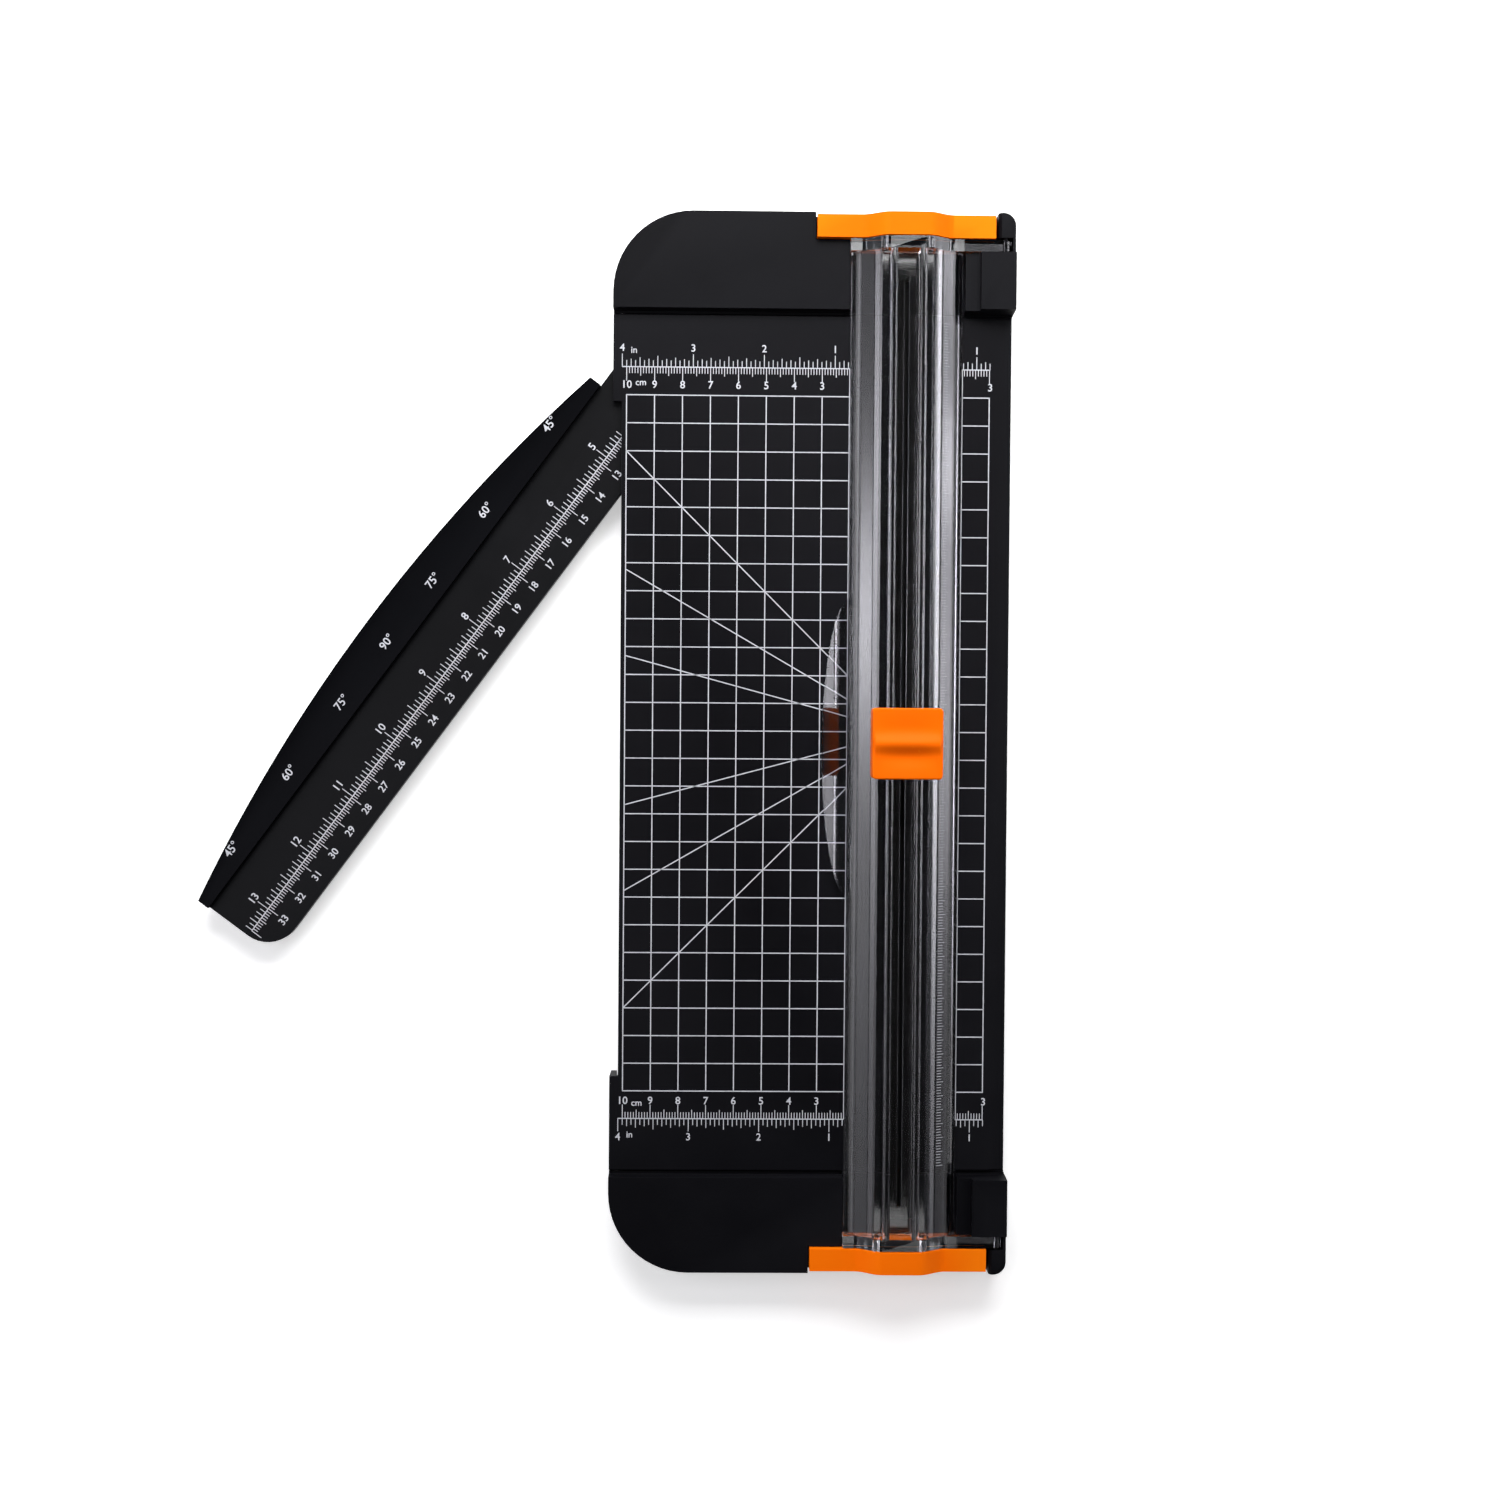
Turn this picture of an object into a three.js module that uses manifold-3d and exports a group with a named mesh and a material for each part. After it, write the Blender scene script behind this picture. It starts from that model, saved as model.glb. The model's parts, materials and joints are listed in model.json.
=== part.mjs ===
// Sliding-cutter paper trimmer with a fold-out ruler arm.
// Millimetres, +Z up. The origin is the centre of the base on the desk.
// +Y points to the head end and +X to the hinge side.
import * as THREE from "three";
import { mergeVertices } from "three/addons/utils/BufferGeometryUtils.js";
import Module from "manifold-3d";

const wasm = await Module();
wasm.setup();

// ---------------------------------------------------------------- driving dimensions

const gap = 0.3; // between two pieces that rest on each other

const base = {
  halfLength: 190,
  left: -72.3, // side face of the two end blocks
  platformLeft: -69.2, // edge of the platform between them
  right: 70.5, // side wall between the two ears
  earRight: 70.9,
  leftRadius: 28.7,
  rightRadius: 4.5,
  wall: 2.2,
  bottom: 1.2,
  top: 12,
  blockTop: 15,
  blockStart: 155, // |Y| where the raised end blocks begin
  headStep: 122.6, // Y where the head block's side steps out
  footStep: -119.7,
  slotEnd: 145.5, // head end of the arm's slot in the left wall
  bevelStart: 63.5, // X where the platform slopes down to the right wall
  bevelDrop: 1.2,
  grooveWidth: 1.6, // dark gap in front of each raised block and ear
  grooveDepth: 1.2,
  seam: 154.2, // |Y| where the end mouldings meet the middle one, in the grooves
  seamGap: 0.2,
  blockRight: 12, // X where the raised blocks end, beside the rail
  notchStart: 180.3, // |Y| where the notches for the rail's end caps begin
  notchFloor: 8.5,
  notchGap: 0.5, // beside each end cap
  knuckleFloor: 11.4, // floor of the notches for the rail's hinge knuckles
  hingeWall: 1, // outer wall beside those notches
};
// The spaces under the base's roof, and the ribs and bosses left in them.
const hollow = {
  endWall: 178.2, // |Y| of the wall behind the end caps
  slopeStart: 61.5, // X where the roof's underside falls away to the right wall
  slopeLow: 6.6,
  endStart: 100,
  raisedStart: 157.5, // |Y| where the hollows inside the blocks and ears begin
  raisedFloor: 9,
  blockRoof: 12.8,
  earRoof: 13.8,
  earRight: 61,
  earEnd: 166,
  bossRadius: 3.6,
};
const stripRib = { halfWidth: 6, halfLength: 172, bottom: 7.7 };
const armRib = { left: -38.6, right: -37, start: -112, end: 105 };

const cover = { left: -69.5, right: 67.9, halfLength: 187.4, leftRadius: 26, rightRadius: 2.5, top: 3.4 };

const cutX = 32.5; // the cutting line
const strip = {
  halfWidth: 3.85,
  halfLength: 170.6,
  bottom: 10.2,
  top: 11.95,
  grooveHalfWidth: 0.6,
  grooveDepth: 1.15,
};

const ear = { left: 20.6, step: 25.9, start: 154.8, end: 175.7, lowTop: 16, highTop: 18.5 };
const post = { left: 32.3, start: 181.2, top: 16.3, chamfer: 1 };
const hinge = {
  x: cutX + 35.1,
  z: 14.2,
  pinRadius: 0.8,
  boreRadius: 0.95,
  knuckleRadius: 1.9,
  boreStart: 166.5,
  boreEnd: 188.6,
  pinStart: 167,
  pinEnd: 188.2,
};

const rail = {
  halfWidth: 20,
  halfLength: 176.1,
  bottom: 12.3,
  floor: 13.8, // bottom of the channel
  channel: 3.9, // half the channel's width
  stem: 5.5, // outer face of each track's stem
  trackWidth: 6.5, // outer edge of each track's head
  trackUnder: 20.3,
  trackTop: 21.5,
  trackRound: 1,
  grooveFloor: 16.6,
  webWidth: 6.2, // half the solid web under the channel
  webTop: 14.8, // underside of the floor between track and wing
  wingStart: 9.4,
  footStart: 18,
  slitHalfWidth: 0.9,
  slitHalfLength: 166,
};
// Quarter ellipses that bound the wings' section.
const wing = { centreZ: 10.6, outerX: 20.6, outerZ: 10.5, innerX: 18.9, innerZ: 8.8 };
const flange = { start: 176, end: 180.3, left: -20.4, right: 30, side: 17, crest: 21.4 };
const tab = {
  halfLength: 53,
  depth: 9.9,
  thickness: 1.4,
  centreY: -0.5,
  curl: 0.045, // the sheet rises by this much times the square of the distance out
  rimWidth: 0.8,
  rimHeight: 0.4,
};

const cap = {
  start: 180.6,
  end: 188.6,
  left: -32.3,
  right: 31.1,
  bottom: 9,
  wall: 1.7,
  pocketTop: 13.6,
  side: 17.4,
  crest: 21.8,
  crestHalfWidth: 6.5,
  shoulderHalfWidth: 16.5,
};
const capScrew = {
  x: 8,
  z: 16.6,
  shankRadius: 0.85,
  headRadius: 1.8,
  headLength: 1.2,
  recess: 2.7,
  tip: 177.4,
};

const arm = {
  pivotX: -60,
  pivotY: 135,
  openAngle: 36.5, // degrees open from its stored place under the platform
  length: 249.8,
  bandStart: 15.3, // where the bow-shaped outer band begins
  chord: -9.7, // step between the thin ruler band and the thick outer band
  innerEdge: 19.2,
  bowEnd: -14.2,
  bowMiddle: -25.7,
  tipRadius: 12,
  hubRadius: 9.7,
  bottom: 5.9,
  bandTop: 9.4,
  bowTop: 11.9,
  boreRadius: 3.5,
};
const pivot = {
  bushRadius: 3.2,
  bushBottom: 5.6,
  bushTop: 11,
  boreRadius: 1.6,
  washerRadius: 6.5,
  washerBottom: 4.95,
  washerTop: 5.45,
};

const carriage = {
  y: 1.1,
  halfWidth: 12.4,
  halfLength: 12.5,
  skirtBottom: 21.4,
  endWallBottom: 23.7,
  top: 31,
  wall: 1.7,
  cavityTop: 28.2,
  ridgeTop: 32.4,
  ridgeHalfWidth: 11.2,
  cornerRadius: 1.4,
  edge: 0.6, // how much the top edge is rounded
};
const shoe = {
  halfWidth: 9.3,
  halfLength: 10.5,
  bottom: 21.9,
  top: 23.3,
  legInner: 6.8,
  legOuter: 9,
  legBottom: 17.3,
  hook: 0.95, // how far each leg's foot reaches in under the track
};
const blade = { z: 19.4, radius: 6.6, halfThickness: 0.2, boreRadius: 1.05, axleRadius: 0.9 };
const holder = { halfWidth: 2.5, halfLength: 9, bottom: 15.8, top: 27.9, slotHalfWidth: 1, slotTop: 26.4 };
const spring = { x: 7, radius: 1.8, wireRadius: 0.3, turns: 4 };

// X, Y of the screws and the feet under the base
const screwPlaces = [-1, 1].flatMap((end) => [
  [-50, end * 170],
  [60, end * 165],
  [-28, end * 60],
  [56, end * 60],
]);
const footPlaces = [-58, 58].flatMap((x) => [-148, 0, 148].map((y) => [x, y]));
const foot = { radius: 6, recess: 0.8, top: 1.7, roomAround: 0.4 };
const screw = {
  headRadius: 2.8,
  shankRadius: 1.3,
  headBottom: 1.4,
  headTop: 2.4,
  top: 8.8,
  holeRadius: 1.5,
  clearHoleRadius: 1.7,
};

// ---------------------------------------------------------------- materials

const finish = (color, roughness, metalness = 0, more = {}) =>
  new THREE.MeshStandardMaterial({ color, roughness, metalness, ...more });
const blackPlastic = finish(0x232327, 0.55);
const armPlastic = finish(0x26272b, 0.5);
const stripPlastic = finish(0x141416, 0.7);
const orangePlastic = finish(0xf6780c, 0.4);
const clearPlastic = finish(0xdfe3ea, 0.1, 0, { transparent: true, opacity: 0.35 });
const greyPlastic = finish(0x55575c, 0.5);
const rubber = finish(0x1a1a1b, 0.9);
const steel = finish(0xc4c6c9, 0.3, 1);
const blackSteel = finish(0x2a2a2c, 0.4, 1);

// ---------------------------------------------------------------- solids: joining and cutting

function toSolid(geometry) {
  const bare = geometry.clone();
  bare.deleteAttribute("normal");
  bare.deleteAttribute("uv");
  const merged = mergeVertices(bare, 1e-4);
  return new wasm.Manifold(
    new wasm.Mesh({
      numProp: 3,
      vertProperties: new Float32Array(merged.attributes.position.array),
      triVerts: new Uint32Array(merged.index.array),
    }),
  );
}

function toGeometry(solid) {
  const mesh = solid.getMesh();
  const indexed = new THREE.BufferGeometry();
  indexed.setAttribute("position", new THREE.BufferAttribute(mesh.vertProperties, 3));
  indexed.setIndex(new THREE.BufferAttribute(mesh.triVerts, 1));
  const geometry = indexed.toNonIndexed();
  geometry.computeVertexNormals();
  return geometry;
}

const combine = (geometries, operation) =>
  toGeometry(geometries.map(toSolid).reduce((whole, piece) => whole[operation](piece)));
const join = (...geometries) => combine(geometries, "add");
const cut = (body, ...tools) => combine([body, ...tools], "subtract");
const overlap = (...geometries) => combine(geometries, "intersect");

// ---------------------------------------------------------------- shapes

function box(xLow, xHigh, yLow, yHigh, zLow, zHigh) {
  const geometry = new THREE.BoxGeometry(xHigh - xLow, yHigh - yLow, zHigh - zLow);
  return geometry.translate((xLow + xHigh) / 2, (yLow + yHigh) / 2, (zLow + zHigh) / 2);
}

function cylinder(x, y, radius, zLow, zHigh, sides = 24) {
  const geometry = new THREE.CylinderGeometry(radius, radius, zHigh - zLow, sides);
  return geometry.rotateX(Math.PI / 2).translate(x, y, (zLow + zHigh) / 2);
}

function cylinderAlongY(x, z, radius, yLow, yHigh, sides = 24) {
  const geometry = new THREE.CylinderGeometry(radius, radius, yHigh - yLow, sides);
  return geometry.translate(x, (yLow + yHigh) / 2, z);
}

function cylinderAlongX(y, z, radius, xLow, xHigh, sides = 24) {
  const geometry = new THREE.CylinderGeometry(radius, radius, xHigh - xLow, sides);
  return geometry.rotateZ(Math.PI / 2).translate((xLow + xHigh) / 2, y, z);
}

// A closed outline from corners [x, y, radius], each rounded by a true arc. Large arcs get more points.
function outline(corners) {
  const points = [];
  corners.forEach(([x, y, radius = 0], i) => {
    const corner = new THREE.Vector2(x, y);
    if (radius === 0) {
      points.push(corner);
      return;
    }
    const [beforeX, beforeY] = corners.at(i - 1);
    const [afterX, afterY] = corners[(i + 1) % corners.length];
    const toBefore = new THREE.Vector2(beforeX, beforeY).sub(corner).normalize();
    const toAfter = new THREE.Vector2(afterX, afterY).sub(corner).normalize();
    const halfAngle = Math.acos(toBefore.dot(toAfter)) / 2;
    const bisector = toBefore.clone().add(toAfter).normalize();
    const centre = corner.clone().addScaledVector(bisector, radius / Math.sin(halfAngle));
    const tangent = radius / Math.tan(halfAngle);
    const start = corner.clone().addScaledVector(toBefore, tangent).sub(centre);
    const sweep = (Math.PI - 2 * halfAngle) * Math.sign(start.cross(bisector.clone().negate()));
    const steps = Math.max(3, Math.ceil(Math.abs(sweep) * Math.sqrt(radius) * 1.6));
    for (let step = 0; step <= steps; step += 1) {
      points.push(start.clone().rotateAround(new THREE.Vector2(), (sweep * step) / steps).add(centre));
    }
  });
  return new THREE.Shape(points);
}

// A closed outline with straight sides from [x, y] points.
const profileShape = (points) => new THREE.Shape(points.map(([x, y]) => new THREE.Vector2(x, y)));

// A plan outline raised from zLow to zHigh.
function plate(shape, zLow, zHigh) {
  return new THREE.ExtrudeGeometry(shape, { depth: zHigh - zLow, bevelEnabled: false }).translate(0, 0, zLow);
}

// An outline drawn in X and Z, carried along Y.
function alongY(shape, yLow, yHigh) {
  const geometry = new THREE.ExtrudeGeometry(shape, { depth: yHigh - yLow, bevelEnabled: false });
  return geometry.rotateX(Math.PI / 2).translate(0, yHigh, 0);
}

// An outline drawn in Y and Z, carried along X.
function alongX(shape, xLow, xHigh) {
  const geometry = new THREE.ExtrudeGeometry(shape, { depth: xHigh - xLow, bevelEnabled: false });
  const axes = new THREE.Matrix4().makeBasis(
    new THREE.Vector3(0, 1, 0),
    new THREE.Vector3(0, 0, 1),
    new THREE.Vector3(1, 0, 0),
  );
  return geometry.applyMatrix4(axes).translate(xLow, 0, 0);
}

// A turned piece from [radius, z] points, listed from the bottom up, that start and end on the axis.
function turned(x, y, points, sides = 14) {
  const profile = points.map(([radius, z]) => new THREE.Vector2(radius, z));
  return new THREE.LatheGeometry(profile, sides).rotateX(Math.PI / 2).translate(x, y, 0);
}

// The same box at both ends of the object; yNear and yFar are distances from the middle.
const atBothEnds = (make) => [1, -1].map((end) => make(end));
const endBox = (end, xLow, xHigh, yNear, yFar, zLow, zHigh) =>
  box(xLow, xHigh, Math.min(end * yNear, end * yFar), Math.max(end * yNear, end * yFar), zLow, zHigh);

// ---------------------------------------------------------------- the object and its nodes

const trimmer = new THREE.Group();

function addPiece(name, geometry, material, parent = trimmer) {
  const mesh = new THREE.Mesh(geometry, material);
  mesh.name = name;
  parent.add(mesh);
}

// ---------------------------------------------------------------- base

const baseOutline = () => {
  const { left, platformLeft, right, earRight, halfLength } = base;
  const { leftRadius, rightRadius, headStep, footStep } = base;
  const chamferEnd = base.blockStart - 1.5;
  return outline([
    [earRight, -halfLength, rightRadius],
    [earRight, -base.blockStart],
    [right, -chamferEnd],
    [right, chamferEnd],
    [earRight, base.blockStart],
    [earRight, halfLength, rightRadius],
    [left, halfLength, leftRadius],
    [left, headStep],
    [platformLeft, headStep],
    [platformLeft, footStep],
    [left, footStep],
    [left, -halfLength, leftRadius],
  ]);
};

const insetOutline = (margin) =>
  outline([
    [base.right - margin, -base.halfLength + margin, base.rightRadius - 1],
    [base.right - margin, base.halfLength - margin, base.rightRadius - 1],
    [base.left + margin, base.halfLength - margin, base.leftRadius - margin],
    [base.left + margin, -base.halfLength + margin, base.leftRadius - margin],
  ]);

const lowHigh = (a, b) => [Math.min(a, b), Math.max(a, b)];

// The raised block, its neighbouring hinge ear and the corner post at one end.
function raisedEnd(end) {
  const under = base.top - 1;
  const wallInner = base.earRight - base.hingeWall;
  const frontWalled = (start, slope, top, back) =>
    profileShape([
      [end * start, under],
      [end * (start + slope), top],
      [end * back, top],
      [end * back, under],
    ]);
  const block = frontWalled(base.blockStart + 0.2, 0.4, base.blockTop, base.halfLength);
  const lowEar = frontWalled(ear.start, 0.4, ear.lowTop, ear.end);
  const highEar = frontWalled(ear.start, 0.6, ear.highTop, ear.end);
  const cornerPost = profileShape([
    [cutX + post.left, under],
    [base.earRight, under],
    [base.earRight, post.top],
    [cutX + post.left + post.chamfer, post.top],
    [cutX + post.left, post.top - post.chamfer],
  ]);
  return [
    alongX(block, base.left, base.blockRight),
    alongX(lowEar, cutX + ear.left, cutX + ear.step + 0.5),
    alongX(highEar, cutX + ear.step, base.earRight),
    endBox(end, wallInner, base.earRight, ear.end - 1, base.halfLength, under, post.top),
    alongY(cornerPost, ...lowHigh(end * post.start, end * base.halfLength)),
  ];
}

function baseBody() {
  const raised = overlap(
    join(...atBothEnds(raisedEnd).flat()),
    plate(baseOutline(), base.bottom, ear.highTop + 1),
  );
  return join(plate(baseOutline(), base.bottom, base.top), raised);
}

// The hollows open downwards, under a roof one wall thick.
function baseHollows() {
  const { wall, bottom, top, left, halfLength } = base;
  const { endWall, raisedStart, raisedFloor, blockRoof } = hollow;
  const roofUnder = top - wall;
  const floorLevel = cover.top + gap;
  const innerLeft = left + wall;
  const notchLeft = cutX + cap.left - 1;
  const middleLeft = notchLeft - wall - 1;
  const earLeft = cutX + ear.left + 2;
  const profile = profileShape([
    [innerLeft, floorLevel - 0.1],
    [cover.right, floorLevel - 0.1],
    [cover.right, hollow.slopeLow],
    [hollow.slopeStart, roofUnder],
    [innerLeft, roofUnder],
  ]);
  const leftEnds = atBothEnds((end) => [
    endBox(end, left, notchLeft - wall, hollow.endStart, halfLength - wall, floorLevel, roofUnder),
    endBox(end, left, notchLeft - wall, raisedStart, halfLength - wall, raisedFloor, blockRoof),
  ]).flat();
  return [
    plate(insetOutline(wall), bottom - 1, floorLevel),
    overlap(alongY(profile, -endWall, endWall), plate(insetOutline(wall), bottom, top)),
    overlap(join(...leftEnds), plate(insetOutline(wall), bottom, ear.highTop)),
    ...atBothEnds((end) =>
      endBox(end, middleLeft, base.blockRight - wall, raisedStart, endWall, raisedFloor, blockRoof),
    ),
    ...atBothEnds((end) =>
      endBox(end, earLeft, hollow.earRight, raisedStart, hollow.earEnd, raisedFloor, hollow.earRoof),
    ),
  ];
}

// What is cut from outside: the side slope, the arm's slot, the grooves and the notches at the ends.
function outerCuts() {
  const { left, right, top, earRight, bevelStart, bevelDrop, blockStart, grooveWidth, wall } = base;
  const slope = profileShape([
    [bevelStart, top],
    [earRight, top - (bevelDrop * (earRight - bevelStart)) / (right - bevelStart)],
    [earRight, top + 1],
    [bevelStart, top + 1],
  ]);
  const grooveFloor = top - base.grooveDepth;
  const blockFront = blockStart + 0.2;
  const high = top + 10;
  const capLeft = cutX + cap.left - base.notchGap;
  const capRight = cutX + post.left;
  const knuckleLeft = cutX + ear.left - 0.3;
  const knuckleRight = earRight - base.hingeWall;
  return [
    alongY(slope, -blockStart + 1.5, blockStart - 1.5),
    box(left - 1, left + wall + 4.1, base.footStep + 0.2, base.slotEnd, 0, top - wall),
    ...atBothEnds((end) => [
      endBox(end, left - 1, base.blockRight, blockFront - grooveWidth, blockFront, grooveFloor, top + 1),
      endBox(end, cutX + ear.left, earRight + 1, ear.start - grooveWidth, ear.start, grooveFloor, top + 1),
      endBox(end, capLeft, capRight, base.notchStart, base.halfLength + 1, base.notchFloor, high),
      endBox(end, knuckleLeft, knuckleRight, ear.end, post.start, base.knuckleFloor, high),
    ]).flat(),
  ];
}

function screwBoss(x, y) {
  const underBlock = Math.abs(y) > base.blockStart && x < 0;
  const top = underBlock ? base.blockTop - 1 : base.top - base.wall + 0.5;
  return cylinder(x, y, hollow.bossRadius, cover.top + gap, top, 18);
}

function wholeBase() {
  const roofUnder = base.top - base.wall;
  const floorLevel = cover.top + gap;
  const { halfWidth, halfLength, bottom } = stripRib;
  const filled = join(
    cut(baseBody(), ...outerCuts(), ...baseHollows()),
    ...screwPlaces.map(([x, y]) => screwBoss(x, y)),
    box(cutX - halfWidth, cutX + halfWidth, -halfLength, halfLength, bottom, roofUnder + 0.5),
    box(armRib.left, armRib.right, armRib.start, armRib.end, floorLevel, roofUnder + 0.5),
  );
  const stripRoom = strip.halfWidth + gap;
  const stripEnd = strip.halfLength + gap;
  return cut(
    filled,
    ...screwPlaces.map(([x, y]) => cylinder(x, y, screw.holeRadius, floorLevel - 1, screw.top + 0.5, 14)),
    cylinder(arm.pivotX, arm.pivotY, pivot.bushRadius + gap, floorLevel, pivot.bushTop + gap),
    box(cutX - stripRoom, cutX + stripRoom, -stripEnd, stripEnd, strip.bottom - gap, base.top + 1),
    ...atBothEnds((end) => {
      const span = lowHigh(end * hinge.boreStart, end * hinge.boreEnd);
      return cylinderAlongY(hinge.x, hinge.z, hinge.boreRadius, ...span);
    }),
  );
}

// The base is three mouldings on one bottom cover: the platform, and a raised moulding at each end.
const baseGeometry = wholeBase();
const baseBetween = (yLow, yHigh) => overlap(baseGeometry, box(-100, 100, yLow, yHigh, -1, 30));
const platformEnd = base.seam - base.seamGap / 2;
const mouldingStart = base.seam + base.seamGap / 2;
addPiece("base_platform", baseBetween(-platformEnd, platformEnd), blackPlastic);
addPiece("head_end_block", baseBetween(mouldingStart, base.halfLength + 1), blackPlastic);
addPiece("foot_end_block", baseBetween(-base.halfLength - 1, -mouldingStart), blackPlastic);

function bottomCover() {
  const shape = outline([
    [cover.right, -cover.halfLength, cover.rightRadius],
    [cover.right, cover.halfLength, cover.rightRadius],
    [cover.left, cover.halfLength, cover.leftRadius],
    [cover.left, -cover.halfLength, cover.leftRadius],
  ]);
  const footRoom = foot.radius + foot.roomAround;
  return cut(
    plate(shape, base.bottom, cover.top),
    ...screwPlaces.map(([x, y]) => cylinder(x, y, screw.clearHoleRadius, 0, 5, 12)),
    ...screwPlaces.map(([x, y]) => cylinder(x, y, screw.headRadius + gap, 0, screw.headTop + gap, 16)),
    ...footPlaces.map(([x, y]) => cylinder(x, y, footRoom, 0, base.bottom + foot.recess, 20)),
  );
}
addPiece("base_bottom_cover", bottomCover(), blackPlastic);

function cuttingStrip() {
  const { halfWidth, halfLength, bottom, top, grooveHalfWidth, grooveDepth } = strip;
  const grooveEnd = halfLength - 3;
  return cut(
    box(cutX - halfWidth, cutX + halfWidth, -halfLength, halfLength, bottom, top),
    box(cutX - grooveHalfWidth, cutX + grooveHalfWidth, -grooveEnd, grooveEnd, top - grooveDepth, top + 1),
  );
}
addPiece("cutting_strip", cuttingStrip(), stripPlastic);

footPlaces.forEach(([x, y], i) => {
  const profile = [
    [0, 0],
    [foot.radius - 0.6, 0],
    [foot.radius, 0.6],
    [foot.radius, foot.top],
    [0, foot.top],
  ];
  addPiece(`foot_pad_${i + 1}`, turned(x, y, profile, 20), rubber);
});

screwPlaces.forEach(([x, y], i) => {
  const profile = [
    [0, screw.headBottom],
    [screw.headRadius - 0.4, screw.headBottom],
    [screw.headRadius, screw.headBottom + 0.4],
    [screw.headRadius, screw.headTop],
    [screw.shankRadius, screw.headTop],
    [screw.shankRadius, screw.top - 1],
    [0, screw.top],
  ];
  addPiece(`case_screw_${i + 1}`, turned(x, y, profile), steel);
});

atBothEnds((end) => {
  const span = lowHigh(end * hinge.pinStart, end * hinge.pinEnd);
  const pin = cylinderAlongY(hinge.x, hinge.z, hinge.pinRadius, ...span, 20);
  addPiece(end > 0 ? "hinge_pin_head" : "hinge_pin_foot", pin, blackSteel);
});

// ---------------------------------------------------------------- ruler arm and its pivot

// Drawn stored, straight down -Y from its pivot, then turned open.
const armGroup = new THREE.Group();
armGroup.position.set(arm.pivotX, arm.pivotY, 0);
armGroup.rotation.z = THREE.MathUtils.degToRad(-arm.openAngle);
trimmer.add(armGroup);

function rulerArm() {
  const chordLength = arm.length - arm.bandStart;
  const rise = arm.bowEnd - arm.bowMiddle;
  const bowRadius = (chordLength ** 2 / 4 + rise ** 2) / (2 * rise);
  const bowCentre = new THREE.Vector2(arm.bowMiddle + bowRadius, -(arm.bandStart + arm.length) / 2);
  const halfSweep = Math.asin(chordLength / 2 / bowRadius);
  const bow = [];
  const steps = 24;
  for (let step = 0; step <= steps; step += 1) {
    const angle = Math.PI + halfSweep * ((2 * step) / steps - 1);
    bow.push([bowCentre.x + bowRadius * Math.cos(angle), bowCentre.y + bowRadius * Math.sin(angle)]);
  }
  const bowPlan = outline([...bow, [arm.chord, -arm.length], [arm.chord, -arm.bandStart]]);
  const bandPlan = outline([
    ...bow,
    [arm.innerEdge, -arm.length, arm.tipRadius],
    [arm.innerEdge, -20, 4],
    [arm.hubRadius, -4, 3],
    [arm.hubRadius, arm.hubRadius, arm.hubRadius - 0.1],
    [-arm.hubRadius, arm.hubRadius, arm.hubRadius - 0.1],
    [arm.chord, -arm.bandStart],
  ]);
  return cut(
    join(plate(bandPlan, arm.bottom, arm.bandTop), plate(bowPlan, arm.bottom, arm.bowTop)),
    cylinder(0, 0, arm.boreRadius, 0, 20, 32),
  );
}
addPiece("ruler_arm", rulerArm(), armPlastic, armGroup);

addPiece(
  "arm_pivot_bush",
  cut(
    cylinder(arm.pivotX, arm.pivotY, pivot.bushRadius, pivot.bushBottom, pivot.bushTop),
    cylinder(arm.pivotX, arm.pivotY, pivot.boreRadius, 0, 20, 20),
  ),
  steel,
);
addPiece(
  "arm_pivot_washer",
  cut(
    cylinder(arm.pivotX, arm.pivotY, pivot.washerRadius, pivot.washerBottom, pivot.washerTop, 28),
    cylinder(arm.pivotX, arm.pivotY, pivot.boreRadius + 0.1, 0, 20, 20),
  ),
  steel,
);
addPiece(
  "arm_pivot_screw",
  turned(arm.pivotX, arm.pivotY, [
    [0, 3.8],
    [3.6, 3.8],
    [4, 4.1],
    [4, 4.75],
    [1.4, 4.75],
    [1.4, 9.8],
    [0, 10.6],
  ]),
  steel,
);

// ---------------------------------------------------------------- clear rail and end caps

// Height of the arched end, which falls from a level crest to level shoulders on a cosine.
function archHeight(x, side, crest) {
  const { crestHalfWidth, shoulderHalfWidth } = cap;
  const past = (Math.abs(x) - crestHalfWidth) / (shoulderHalfWidth - crestHalfWidth);
  const along = THREE.MathUtils.clamp(past, 0, 1);
  return side + ((crest - side) * (1 + Math.cos(Math.PI * along))) / 2;
}

function archPoints(xLow, xHigh, side, crest) {
  const { crestHalfWidth, shoulderHalfWidth } = cap;
  const shoulder = [];
  const steps = 14;
  for (let step = 0; step <= steps; step += 1) {
    shoulder.push(crestHalfWidth + ((shoulderHalfWidth - crestHalfWidth) * step) / steps);
  }
  const xs = [xLow, ...shoulder.map((x) => -x).reverse(), ...shoulder, xHigh];
  return xs.map((x) => [cutX + x, archHeight(x, side, crest)]);
}

// Points on a quarter ellipse about the rail's middle line, from one X to another.
function wingArc(radiusX, radiusZ, fromX, toX, steps) {
  const from = Math.asin(fromX / radiusX);
  const to = Math.asin(toX / radiusX);
  const points = [];
  for (let step = 0; step <= steps; step += 1) {
    const angle = from + ((to - from) * step) / steps;
    points.push([radiusX * Math.sin(angle), wing.centreZ + radiusZ * Math.cos(angle)]);
  }
  return points;
}

// A rounded corner of the rail's section about [x, z], from one direction to another in degrees from +X.
function roundCorner(x, z, radius, from, to, steps = 5) {
  const points = [];
  for (let step = 0; step <= steps; step += 1) {
    const angle = THREE.MathUtils.degToRad(from + ((to - from) * step) / steps);
    points.push([x + radius * Math.cos(angle), z + radius * Math.sin(angle)]);
  }
  return points;
}

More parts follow.
